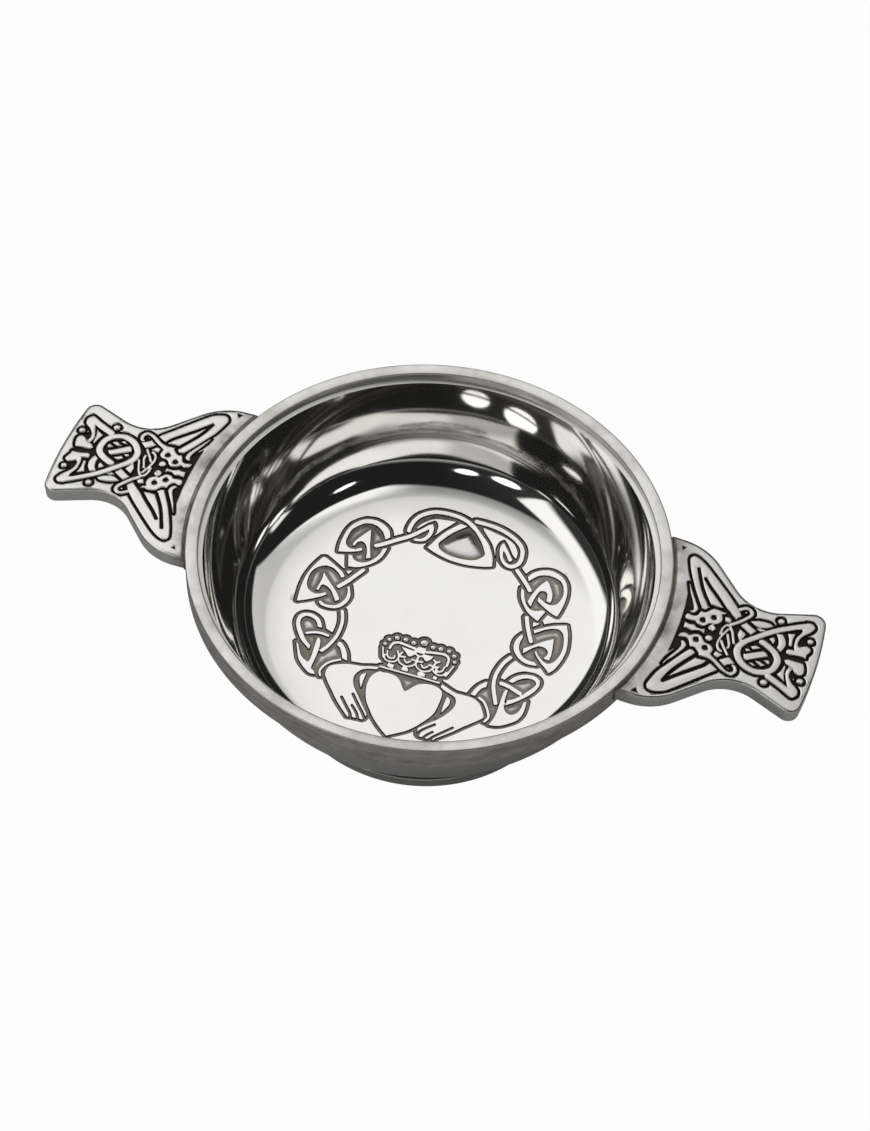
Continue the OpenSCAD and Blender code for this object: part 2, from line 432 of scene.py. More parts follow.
# Painted shade: the bank tone, much darker than the bed, stands in for shade on the steep sides of the sunk
# lines.
floor_oxide_and_shade = {"bank": (0.07, 0.06, 0.048), "bed": (0.33, 0.3, 0.255), "reach": 0.22, "rubbed": 0.8}
mirror_pewter = metal_material("mirror_pewter", mirror_tone, rough=0.035, smear=0.03, stained=0.05,
                               bump=0.06, oxide_and_shade=floor_oxide_and_shade, lines=6000, line_rough=0.5,
                               lines_above=lip_z - lip_chamfer)
bowl = spun("bowl_dressed", bowl_section, False, mirror_pewter)

# Floor ornament: two hands holding a crowned heart, closed to a ring by six knots and a shield at the top.
# It is struck into the bowl's floor: outlines and grounds are sunk and left dark with oxide and painted
# shade, the tops polished flush.
floor_border = 0.9
relief_step = 0.1
rise_ring_count = 12


def oblong(left, top, right, bottom):
    """A square-cornered outline, as four runs of one point."""
    return [(left, top)], [(right, top)], [(right, bottom)], [(left, bottom)]


floor_outlines = {
    "upper left knot band": (
        [(-15.2, 19.5), (-15.9, 21.05), (-16.9, 21.95), (-18.25, 22.6), (-19.85, 22.8), (-21.75, 22.35),
         (-23.05, 21.35), (-24.15, 19.9), (-24.8, 18.1), (-25, 16.25), (-25, 14), (-24.65, 11.8)],
        [(-24.65, 11.8), (-22.1, 12.65), (-19.9, 13.85)],
        [(-20, 14.55), (-21.8, 13.55), (-22.8, 13.55), (-23.7, 14.2), (-24.1, 15.2), (-24.1, 16.65),
         (-23.9, 18.35), (-23.05, 19.9), (-21.85, 21.15), (-20.35, 21.6), (-18.9, 21.45),
         (-17.4, 20.55), (-16.6, 19.6), (-16.1, 18.7)]),
    "upper left knot fork": (
        [(-19.95, 20), (-19.45, 18.45), (-18.8, 16.25), (-18.05, 14.25), (-17.4, 12.6)],
        [(-18.25, 12.1), (-18.55, 13.45), (-19.05, 14.85), (-19.8, 15.9), (-20.6, 16.25),
         (-21.25, 16.15), (-21.65, 15.55), (-21.85, 14.6)],
        [(-22.3, 14.55), (-22.25, 15.45), (-21.85, 16.45), (-21.1, 17.95), (-20.3, 19.4)]),
    "upper left knot hook": (
        [(-14.8, 16.45), (-14.9, 14.95), (-15.35, 13.05), (-16.4, 11.45), (-17.8, 10.1), (-19.3, 9.15),
         (-21.1, 8.65)],
        [(-21.2, 8.8), (-21.7, 10.25), (-22.2, 11.7)],
        [(-21.35, 11.75), (-20.9, 11.05), (-20.1, 10.6), (-18.8, 10.65), (-17.6, 11.25), (-16.6, 12.45),
         (-15.9, 13.95), (-15.7, 15.05), (-15.7, 15.85)]),
    "left knot shell": (
        [(-27.25, 8.95), (-28, 6.95), (-28.6, 4.9), (-28.9, 2.9), (-28.95, 0.9), (-28.8, -1.1),
         (-28.35, -4.15)],
        [(-28.25, -4.15), (-26.65, -3.15), (-24.95, -2), (-23.85, -1.1), (-22.9, -0.2)],
        [(-23.3, 0.15), (-24.35, -0.6), (-25.45, -0.95), (-26.65, -0.6), (-27.55, 0.15), (-28.1, 1.45),
         (-28.3, 3.35), (-28.05, 4.85), (-27.3, 6.15), (-26.15, 7), (-24.95, 7.2), (-23.65, 6.9),
         (-22.3, 6.05), (-21.5, 5.2)],
        [(-20.95, 5.75), (-21.8, 6.7), (-23.35, 7.55), (-24.95, 8.4), (-26.65, 9.15)]),
    "left knot fork": (
        [(-25.6, 5.2), (-24.15, 3.8), (-22.25, 2.1), (-20.6, 0.55), (-19.85, -0.55)],
        [(-20.45, -1.3), (-21.6, 0.2), (-22.45, 1.2), (-23.35, 1.75), (-24.15, 2), (-24.85, 1.9),
         (-24.95, 1), (-25.05, 0.25)],
        [(-25.5, 0.2), (-25.4, 1.7), (-25.3, 3.4), (-25.45, 4.5)]),
    "left knot hook": (
        [(-19, 3.6), (-18.3, 2.2), (-17.85, 0.9), (-18, -0.65), (-18.75, -2.15), (-19.9, -3.1),
         (-21.4, -3.5), (-22.85, -3.4), (-23.75, -2.85)],
        [(-23.65, -2.3), (-22.3, -2.85), (-20.9, -2.7), (-19.9, -2.25), (-19.1, -1.15), (-18.65, 0.2),
         (-18.7, 1.5), (-19, 2.6), (-19.35, 3.1)]),
    "left knot chip": ([(-21.1, 7.3)], [(-19.85, 7.8)], [(-20.45, 6.65)]),
    "lower left knot loop": (
        [(-20.65, -9), (-21.3, -7.85), (-22.1, -6.95), (-23.35, -6.4), (-24.45, -6.3), (-25.65, -6.7),
         (-26.35, -7.4), (-26.55, -8.4), (-26.4, -9.65), (-25.8, -10.95), (-24.9, -12.25),
         (-23.8, -13.55), (-22.6, -14.4), (-21.3, -15.3)],
        [(-21.35, -14.3), (-22.3, -13.7), (-23.4, -12.6), (-24.45, -11.2), (-25.25, -10.1),
         (-25.65, -9.1), (-25.65, -8.1), (-25.15, -7.35), (-24.15, -7.15), (-22.95, -7.45),
         (-22.1, -8.15), (-21.6, -9.1)]),
    "lower left knot scoop": (
        [(-20.35, -11.7), (-19.75, -12.4), (-19.35, -14.1), (-19.2, -16.1), (-19.2, -18.25),
         (-19.1, -19.85), (-18.3, -20.35), (-17.8, -21.05)],
        [(-17.8, -21.05), (-18.8, -21.2), (-19.8, -20.75), (-21.1, -19.85), (-22.3, -18.7),
         (-23.1, -17.35), (-23.85, -15.8), (-24.5, -14.45)],
        [(-23.8, -15.05), (-22.9, -16.65), (-22.1, -17.7), (-20.95, -18.4), (-20.25, -18.55)],
        [(-20.25, -18.55), (-20.1, -17.95), (-20.15, -16.6), (-20.35, -14.9), (-20.5, -13.2),
         (-20.6, -12)]),
    "left sleeve": (
        [(-16, -11.45), (-15.4, -11.25), (-14.3, -12.15), (-13.25, -13.6), (-12.55, -15.25)],
        [(-13.7, -15.05), (-14.3, -13.9), (-15.1, -12.7), (-16, -12.15)]),
    "left hand": (
        [(-15.85, -19.15), (-15.6, -18.1), (-14.9, -17.4), (-13.6, -16.7), (-11.85, -16.05),
         (-10.25, -15.75), (-8.85, -15.5), (-7.35, -14.95), (-5.6, -14.5)],
        [(-5.85, -15.15), (-6.95, -15.4), (-8.05, -15.85), (-8.95, -16.5), (-9.55, -17.6),
         (-9.75, -18.6), (-9.55, -19.65), (-8.95, -20.95), (-7.85, -22.3), (-6.55, -23.8),
         (-5.25, -25.3), (-4, -26.7)],
        [(-3.8, -27.2), (-4.25, -28.35), (-5, -28.45), (-5.8, -28.6), (-6.7, -28.65), (-7.5, -28.9)],
        [(-7.5, -28.9), (-9.35, -27.3), (-11.05, -25.75), (-12.75, -23.85), (-14.4, -22.05),
         (-15.7, -20.35)]),
    "left thumb": (
        [(-7.6, -16.8), (-7.55, -17.9), (-7.5, -19.45), (-7.4, -20.85)],
        [(-8.05, -19.65), (-8.5, -18.4), (-8.4, -17.6)]),
    "heart": (
        [(1.75, -18.5), (1.1, -18), (0.1, -16.6), (-0.8, -15.75), (-1.9, -15.35), (-3.5, -15.3),
         (-4.85, -15.45), (-5.75, -16.2), (-6.3, -17.3), (-6.5, -18.7), (-6.35, -20.35),
         (-5.85, -21.95), (-5.05, -23.75), (-3.8, -25.35), (-2.6, -26.85), (-1, -28.4), (0.65, -29.7),
         (1.85, -30.55)],
        [(1.9, -30.55), (3.35, -29.45), (4.55, -28.55), (5.55, -27.7), (6.75, -26.3), (7.55, -25.05),
         (8.4, -23.75), (9.05, -22.45), (9.45, -21.25), (9.55, -19.45), (9.55, -17.4), (9.3, -16.1),
         (8.7, -15.45), (7.7, -15.05), (6.35, -14.95), (4.8, -15.3), (3.75, -15.9), (3, -16.8),
         (2.35, -17.8)]),
    "right hand": (
        [(8.55, -14), (9.85, -14.45), (11.25, -14.95), (12.35, -15.15), (13.95, -15.05), (15.6, -15.05),
         (16.8, -15.4), (17.8, -16.1), (18.6, -17.2), (19.3, -18.35), (19.5, -19.05), (19, -19.75)],
        [(19, -19.75), (18, -20.85), (16.6, -22.35), (15.25, -23.9), (14.4, -24.9), (13.25, -26.1),
         (11.9, -27.5), (11.5, -28.2)],
        [(11.5, -28.2), (10.8, -28.15), (10, -28.35), (9.2, -28.3), (8.35, -28.3), (7.9, -27.95),
         (7.55, -26.9)],
        [(7.45, -26.45), (8.4, -25.3), (9.4, -24.15), (10.4, -23.15), (11.25, -22.05), (12.05, -20.75),
         (12.65, -19.45), (12.9, -18.2), (12.8, -17.2), (12.25, -16.25), (11.25, -15.75), (9.85, -15.4),
         (8.55, -14.75)]),
    "right thumb": (
        [(10.7, -16.6), (11.45, -17.25), (11.65, -18.4), (11.25, -19.65), (10.75, -20.95)],
        [(10.6, -19.15), (10.6, -17.6)]),
    "right sleeve": (
        [(17.5, -10.1), (17.1, -10.2), (16.1, -11.4), (15.5, -12.7), (15.1, -14.25)],
        [(16.1, -14.3), (16.35, -13.2), (16.9, -11.9), (17.6, -11.3)]),
    "lower right knot loop": (
        [(21.65, -8.15), (22.3, -7.05), (23.2, -6.1), (24.45, -5.4), (25.85, -5.1), (26.95, -5.25),
         (27.85, -5.9), (28.15, -6.95), (27.95, -8.15), (27.35, -9.45), (26.5, -10.75), (25.5, -11.95),
         (24.35, -13.15), (22.95, -14.35)],
        [(22.9, -13.1), (24, -12.4), (25.15, -11.2), (25.95, -9.9), (26.8, -8.6), (27.4, -7.45),
         (27.25, -6.55), (26.35, -5.95), (25.15, -6.1), (23.95, -6.75), (23.1, -7.6), (22.6, -8.3)]),
    "lower right knot scoop": (
        [(21.85, -10.5), (21.55, -11.4), (21.6, -13.4), (21.7, -15.1), (21.75, -16.75), (21.65, -18.5),
         (21.2, -20.45)],
        [(21.2, -20.45), (22.35, -20.3), (23.65, -19.8), (25, -18.8), (26.2, -17.7), (26.8, -16.6),
         (27.1, -15.4), (27.1, -13.85), (26.9, -12.05)],
        [(26.35, -12.55), (26.3, -14), (25.95, -15.4), (25.15, -16.3), (24.35, -16.45), (23.35, -15.95),
         (22.7, -14.75), (22.35, -13.1), (22.25, -11.4), (22.2, -10.5)]),
    "right knot shell": (
        [(29, 9.95), (29.9, 7.85), (30.55, 5.5), (30.85, 3.5), (30.8, 1.7), (30.45, -0.25),
         (29.9, -1.95), (29.05, -3.25)],
        [(29, -3.25), (28.15, -2.45), (26.95, -1.5), (25.65, -0.35), (24.65, 0.8)],
        [(24.65, 1.5), (25.45, 0.45), (26.65, -0.55), (27.85, -1.05), (28.85, -0.6), (29.55, 0.55),
         (29.95, 2.25), (29.95, 4.05), (29.55, 6.05), (28.9, 7.6), (28, 8.4), (27.15, 8.6),
         (26.15, 8.25), (24.95, 7.6), (23.8, 6.55), (22.9, 5.75)],
        [(22.55, 6.5), (23.8, 7.4), (25.35, 8.5), (26.95, 9.35), (28.85, 10)]),
    "right knot fork": (
        [(27.35, 5.7), (25.95, 4.7), (24.45, 3.4), (23.1, 2.05), (21.95, 1.1)],
        [(22.25, -0.2), (23.1, 1), (23.9, 2), (24.95, 2.85), (25.95, 3), (26.8, 2.55), (27.3, 1.8),
         (27.25, 0.95), (26.85, 0.1)],
        [(28.1, 0), (28.15, 1.15), (27.95, 2.65), (27.65, 4.35)]),
    "right knot hook": (
        [(20.6, 4.6), (19.95, 3.4), (19.7, 2), (19.9, 0.5), (20.6, -0.7), (21.8, -1.75), (23.3, -2.4),
         (24.65, -2.45), (26.05, -2.2)],
        [(25.35, -1.6), (23.9, -1.6), (22.6, -1.2), (21.6, -0.2), (20.95, 1), (20.75, 2.4),
         (20.95, 3.8)]),
    "right knot chip": ([(21.8, 8.5)], [(23.3, 8.6)], [(22.1, 7.3)]),
    "upper right knot band": (
        [(16.95, 19.85), (17.6, 21.1), (18.8, 22.2), (20.15, 22.85), (21.5, 23.05), (23, 22.7),
         (24.4, 22), (25.5, 20.8), (26.2, 19.3), (26.6, 17.55), (26.7, 15.6), (26.55, 13.6),
         (26.25, 11.75)],
        [(26.25, 11.75), (24.95, 12.1), (23.65, 12.7), (22.3, 13.45), (20.95, 14.25)],
        [(20.8, 15.45), (21.8, 14.8), (22.95, 14.25), (24.15, 14.2), (25.15, 14.8), (25.65, 16.1),
         (25.8, 17.55), (25.5, 18.9), (24.9, 20.2), (23.9, 21.15), (22.5, 21.65), (21.15, 21.75),
         (19.95, 21.45), (18.9, 20.75), (18.1, 19.75), (17.45, 18.85)]),
    "upper right knot fork": (
        [(21.2, 20.25), (20.5, 19.05), (19.9, 17.75), (19.4, 16.05), (19.05, 14.45), (18.95, 13.35)],
        [(19.95, 12.35), (20, 13.75), (20.2, 15.45), (20.6, 16.9), (21.3, 17.4), (22.05, 17.2),
         (22.55, 16.4), (22.75, 14.95)],
        [(23.65, 14.8), (23.75, 15.7), (23.4, 17.2), (22.65, 18.55), (21.85, 19.7)]),
    "upper right knot hook": (
        [(16.55, 16.45), (16.85, 15.05), (17.5, 13.45), (18.6, 11.95), (19.9, 10.6), (21.3, 9.75),
         (22.6, 9.2)],
        [(22.6, 9.2), (22.95, 10.55), (23.45, 12.05)],
        [(22.65, 12.25), (21.9, 11.75), (20.9, 11.45), (19.9, 11.65), (18.9, 12.55), (18, 14.05),
         (17.5, 15.45), (17.3, 15.95)]),
    "shield left side": (
        [(-6.55, 19.75), (-6, 21.1), (-5.15, 23.4), (-3.9, 25.8), (-1.7, 28.6)],
        [(-0.05, 28.5), (-1.35, 27.15), (-2.5, 25.8), (-3.5, 24.1), (-4.4, 22.4), (-4.55, 21.4),
         (-3.95, 20.3), (-3.3, 18.8)]),
    "shield foot": (
        [(-6.55, 19.75), (-4.85, 19.1), (-2.8, 18.55), (-0.5, 18.2), (2.2, 18.2), (4.5, 18.55),
         (6.85, 19.15), (8.55, 19.85)],
        [(5.75, 21.4), (4.9, 20.4), (3.5, 19.7), (1.5, 19.35), (-0.5, 19.3), (-2.5, 19.65),
         (-4.05, 20.5), (-4.55, 21.5)]),
    "shield right side": (
        [(8.55, 19.85), (8.05, 21.8), (7.05, 23.8), (5.7, 25.65), (4.05, 27.1), (2.55, 28.4),
         (1.4, 29.35), (0.15, 29.95)],
        [(-0.3, 29.2), (1.2, 28.25), (2.2, 27.6), (3.2, 26.6), (4.35, 25.3), (5.35, 23.8),
         (6.05, 22.45), (5.85, 21.6), (4.9, 20.4)]),
    "left leaf panel": (
        [(-2.9, 28.75), (-4.2, 28.6), (-5.5, 28.35), (-7.2, 27.95), (-8.35, 27.25), (-9.35, 26.25),
         (-10.15, 25.1), (-10.55, 23.9)],
        [(-10.05, 24.5), (-9.2, 25.65), (-8.35, 26.75), (-7.5, 27.6)],
        [(-7.5, 27.6), (-6.8, 27.25), (-6.2, 26.3), (-6, 24.8), (-6.05, 23.8), (-6.4, 23)],
        [(-6.4, 23), (-5.55, 24.5), (-4.85, 25.8), (-3.8, 27.35)]),
    "left leaf": (
        [(-7.6, 26.4), (-7, 25.5), (-6.75, 24.2), (-6.95, 22.8), (-7.55, 21.6), (-8.75, 20.85),
         (-10.15, 20.55)],
        [(-9.95, 21.2), (-8.95, 21.4), (-8.15, 22.1), (-7.7, 23.2), (-7.65, 24.2), (-7.85, 24.7)],
        [(-8.75, 24.7)]),
    "right leaf panel": (
        [(3.35, 29.3), (5.35, 29.05), (7.05, 28.7), (8.9, 28.35), (10.9, 27.55), (12.1, 26.4),
         (12.8, 25.05), (12.9, 23.7)],
        [(12.75, 23.8), (11.85, 24.55), (10.55, 26.25), (9.4, 27.55), (8.8, 27.9)],
        [(8.8, 27.9), (8.05, 27.05), (7.75, 25.8), (7.85, 24.4), (8.5, 22.5)],
        [(8.5, 22.5), (7.75, 24), (6.75, 25.7), (5.25, 27.25), (3.85, 28.6)]),
    "right leaf": (
        [(8.85, 26.75), (8.65, 25.8), (8.8, 24.6), (9.35, 23.1), (10.15, 21.8), (11.35, 20.9),
         (12.55, 20.8)],
        [(12.55, 21.65), (11.45, 21.75), (10.45, 22.5), (9.85, 23.6), (9.55, 24.75)],
        [(9.75, 24.85), (10.75, 23.7), (11.45, 22.65), (11.95, 22.5)],
        [(12.25, 23.1), (10.55, 25.2), (9.15, 26.75)]),
    "crown left gore": ([(-2.8, -7.75), (0.4, -7.9)], [(0.5, -8.65), (-0.5, -9.55), (-1.5, -8.75)]),
    "crown right gore": ([(2.45, -7.95), (4.5, -7.85)], [(4.2, -8.65), (3.4, -9.45), (2.5, -8.85)]),
    "crown collar": oblong(0.7, -6.45, 2.35, -7.9),
    "crown first stone": oblong(-4.05, -12.8, -2.7, -13.55),
    "crown second stone": oblong(-0.9, -12.8, 0.5, -13.45),
    "crown third stone": oblong(2.7, -12.75, 4.35, -13.4),
    "crown fourth stone": oblong(6.2, -12.6, 7, -13.35),
}
floor_strands = {
    "upper left link": (0.85, [(-17.4, 16.2), (-15.9, 17.35), (-13.6, 19.4), (-11.55, 21.1),
        (-10.55, 22.2), (-9.15, 23.9), (-7.95, 25.6)]),
    "left link": (0.85, [(-17.7, 8.8), (-18.7, 6.9), (-19.8, 4.8), (-21.2, 2.75)]),
    "lower left bar": (0.55, [(-23.25, -11.5), (-22.1, -10.9), (-20.8, -10.5), (-19.6, -10.45),
        (-18.7, -10.55)]),
    "lower left link": (0.7, [(-18.1, -3.35), (-17.45, -4.85), (-17, -6.55), (-16.85, -8.55),
        (-16.95, -10.2), (-17.35, -11.9), (-17.9, -13.4), (-18.6, -14.7)]),
    "left cuff": (0.42, [(-14, -15.55), (-15.3, -16.4), (-16.3, -17.4), (-16.9, -18.6), (-17.1, -19.85),
        (-16.6, -20.95)]),
    "right cuff": (0.5, [(17.1, -14.5), (18.2, -15), (19.2, -16.1), (20.05, -17.45), (20.5, -18.65),
        (20.1, -19.9)]),
    "lower right bar": (0.8, [(20.3, -9.3), (21.6, -9.4), (22.9, -9.75), (24.25, -10.2),
        (24.95, -10.45)]),
    "lower right link": (0.8, [(20.1, -2.2), (19.3, -3.7), (18.8, -5.55), (18.55, -7.55),
        (18.75, -9.65), (19.3, -11.4), (20.1, -13.1), (20.8, -14.6)]),
    "right link": (0.85, [(20.1, 9.2), (21, 7), (21.9, 5.2), (22.9, 3.45)]),
    "upper right link": (0.85, [(14.15, 20.7), (15.6, 19.4), (17.1, 17.95), (18.45, 16.5)]),
    "left arch": (0.9, [(-11.95, 22.8), (-12, 24.1), (-11.75, 25.75), (-11.05, 27.3), (-9.8, 28.7),
        (-8.3, 29.65), (-6.5, 30.15), (-4.5, 30.35), (-2.45, 30.25), (-0.75, 29.85), (0.55, 29.25)]),
    "right arch": (0.9, [(1.45, 30.4), (2.85, 30.45), (4.85, 30.45), (6.9, 30.2), (8.9, 29.65),
        (10.9, 28.8), (12.6, 27.6), (13.6, 26.2), (14, 24.55), (14, 23.05), (13.5, 21.95),
        (12.55, 21.25)]),
    "crown left rim": (0.5, [(-5.1, -8.95), (-4.95, -7.85), (-4.35, -7.1), (-3.3, -6.85), (-1.8, -7),
        (0.2, -7.2)]),
    "crown right rim": (0.5, [(2.7, -7.2), (4.5, -6.75), (6.25, -6.45), (7.35, -6.75), (7.9, -7.65),
        (7.95, -9.05)]),
    "crown left side": (0.3, [(-6.55, -9.25), (-6.05, -10.6), (-5.65, -11.6)]),
    "crown right side": (0.35, [(9.35, -8.75), (8.95, -10.4), (8.55, -11.7)]),
    "crown base": (0.34, [(-5.35, -14.2), (-2.5, -14.15), (1.5, -14), (4.5, -13.9), (7.85, -13.85)]),
    "crown first swag": (0.3, [(-5.55, -11), (-5.25, -11.9), (-4.25, -12.3), (-3, -11.95),
        (-2.45, -11)]),
    "crown second swag": (0.3, [(-2.45, -10.9), (-1.85, -11.8), (-0.45, -12.25), (0.85, -11.8),
        (1.5, -10.9)]),
    "crown third swag": (0.3, [(1.5, -10.9), (2.15, -11.8), (3.45, -12.25), (4.8, -11.75),
        (5.3, -10.9)]),
    "crown fourth swag": (0.3, [(5.3, -10.9), (6, -11.65), (7, -12), (7.95, -11.7), (8.35, -10.8)]),
    "crown first cross": (0.36, [(-2.45, -11.1), (-2.6, -10.1), (-3.25, -9.1)]),
    "crown first arms": (0.34, [(-2.1, -9.05), (-2.6, -10.1), (-1.8, -10.15), (-1.2, -10)]),
    "crown second cross": (0.42, [(1.5, -11), (1.5, -10), (1.4, -8.75)]),
    "crown second top": (0.34, [(0.8, -8.5), (1.5, -8.8), (2.25, -8.5)]),
    "crown second arms": (0.34, [(0.35, -10.1), (1.5, -10.15), (2.75, -10)]),
    "crown third cross": (0.42, [(5.3, -11), (5.35, -10.1), (5.55, -8.95)]),
    "crown third top": (0.34, [(4.85, -8.65), (5.55, -9), (6.2, -8.65)]),
    "crown third arms": (0.34, [(4.3, -10.15), (5.35, -10.25), (6.4, -10.1)]),
    "crown first leaf": (0.32, [(-1.15, -10.7), (-0.45, -11.3), (0.25, -10.7)]),
    "crown second leaf": (0.32, [(2.7, -10.7), (3.4, -11.3), (4.15, -10.7)]),
    "crown end leaf": (0.32, [(-5.25, -9.8), (-5.05, -10.7), (-4.35, -11.4), (-3.4, -11.1),
        (-3.4, -10.5)]),
    "crown far leaf": (0.32, [(6.15, -10.7), (6.75, -11.2), (7.45, -10.7), (7.65, -9.55)]),
}
floor_grounds = {
    "upper left knot": [(-24.4, 17.65), (-22.55, 21.1), (-19.6, 21.7), (-16.6, 19.8), (-15.4, 17.75),
        (-15.4, 14.25), (-17.1, 11.55), (-20.1, 10.35), (-21.6, 11.55), (-23.6, 13.7)],
    "left knot": [(-28.45, 4.6), (-26.65, 6.9), (-24.65, 7.5), (-21.1, 5.6), (-18.8, 3.3), (-18.4, 0.2),
        (-19.6, -2.45), (-22.1, -3.05), (-23.85, -2.15), (-25.45, -1.15), (-27.85, 0.45)],
    "lower left knot": [(-25.95, -8.4), (-24.15, -6.85), (-21.6, -8.35), (-17.6, -9.55), (-17.2, -12.4),
        (-15.8, -11.8), (-13.6, -14.6), (-16.4, -17), (-17.2, -18.95), (-17.2, -20.85), (-18.6, -20.45),
        (-19.6, -18.45), (-20.6, -18.45), (-24, -14.65)],
    "lower right knot": [(27.55, -7.45), (26.15, -5.65), (22.8, -7.85), (19.6, -8.95), (18.8, -10.4),
        (17.1, -11.2), (15.8, -14), (18.1, -14.7), (19.9, -16.6), (20.6, -18.95), (21.65, -20.05),
        (21.9, -16.25), (24.35, -16.7), (26.55, -14.75), (26.55, -11.95)],
    "right knot": [(30.1, 3.55), (29.3, 7.2), (27.65, 8.75), (22.8, 6.2), (20.8, 4.2), (20.4, 1.7),
        (21.2, -0.3), (23.1, -1.65), (25.45, -1.75), (26.25, -0.75), (27.85, -1.3), (29.6, 0.35)],
    "upper right knot": [(26, 17.55), (24.7, 20.7), (21.65, 21.9), (18.6, 20.75), (17.2, 18.55),
        (16.9, 15.75), (18.6, 12.35), (20.8, 11.25), (22.6, 12.15), (24.65, 13.9)],
    "left leaf": [(-7.75, 24.4), (-9.75, 22.7), (-10.15, 21.2), (-8.55, 21.2), (-7.55, 22.4)],
    "right leaf": [(9.35, 25), (10.05, 22.2), (11.25, 21.5), (13.05, 21.7), (13.45, 23.3), (12.15, 23),
        (11.55, 22.6), (10.55, 23.8)],
    "shield boss": [(0.5, 28.35), (-2.4, 25.9), (-4.45, 22.3), (-4.15, 20.6), (-2.3, 19.6), (0.5, 19.3),
        (3.5, 19.6), (5.55, 20.7), (6.05, 22.5), (4.4, 25.3), (2.2, 27.7)],
    "left thumb": [(-5.95, -15.2), (-8.15, -15.8), (-9.55, -17.7), (-9.55, -19.75), (-7.55, -22.45),
        (-5.75, -22.25), (-6.55, -18.9), (-5.95, -16.4)],
    "right thumb": [(8.85, -14.9), (11.45, -15.8), (12.85, -17.3), (12.75, -19.45), (11.05, -22.45),
        (9.25, -22.45), (9.55, -18.9), (9.35, -16)],
    "heart notch": [(-1.5, -14.8), (4.1, -14.6), (1.8, -18.6)],
    "crown": [(-6.85, -7.95), (-6.15, -6.55), (-4.55, -5.95), (8.75, -5.65), (9.35, -7.75),
        (9.15, -9.35), (8.35, -12.4), (8.35, -13.7), (-5.45, -13.9), (-5.15, -12.4), (-6.45, -10.4)],
}
floor_cuts = {
    "left first finger": (0.75, [(-8.35, -23), (-6.55, -25.05), (-4.8, -26.9), (-3.9, -28.05)]),
    "left second finger": (0.7, [(-7.55, -25.8), (-6.1, -27.2), (-5.3, -28.45)]),
    "left third finger": (0.75, [(-10.35, -24.55), (-8.75, -26.3), (-7.3, -27.85), (-6.8, -28.9)]),
    "right first finger": (0.75, [(10.45, -24.35), (9.15, -25.7), (8.15, -27), (7.95, -28.15)]),
    "right second finger": (0.7, [(10.65, -26.3), (9.75, -27.45), (9.3, -28.4)]),
    "right third finger": (0.75, [(14.25, -23.8), (12.7, -25.65), (11.4, -27.15), (10.6, -28.4)]),
    "heart crease": (0.35, [(-4.55, -15.35), (-3.4, -15.65), (-2.4, -15.65)]),
}
crown_beads = [(-6.4, -8.15, 0.43), (-5.95, -6.75, 0.47), (-4.5, -5.75, 0.56), (-2.6, -5.55, 0.56),
    (-0.7, -5.75, 0.56), (1.45, -4.95, 0.84), (3.6, -5.45, 0.53), (5.3, -5.25, 0.56), (7.2, -5.2, 0.5),
    (8.65, -6.05, 0.5), (9.2, -7.55, 0.43)]


def curve_through(points, spacing=0.3):
    """A smooth line through given points, as closely spaced points."""
    points = np.array(points, float)
    if len(points) < 3:
        return points
    ends = np.vstack([2 * points[0] - points[1], points, 2 * points[-1] - points[-2]])
    line = []
    for i in range(1, len(points)):
        a, b, c, d = ends[i - 1:i + 3]
        parts = max(2, math.ceil(np.linalg.norm(c - b) / spacing))
        t = (np.arange(parts) / parts)[:, None]
        line.append(b + 0.5 * t * (c - a + t * (2 * a - 5 * b + 4 * c - d + t * (3 * b - a - 3 * c + d))))
    return np.vstack(line + [points[-1:]])


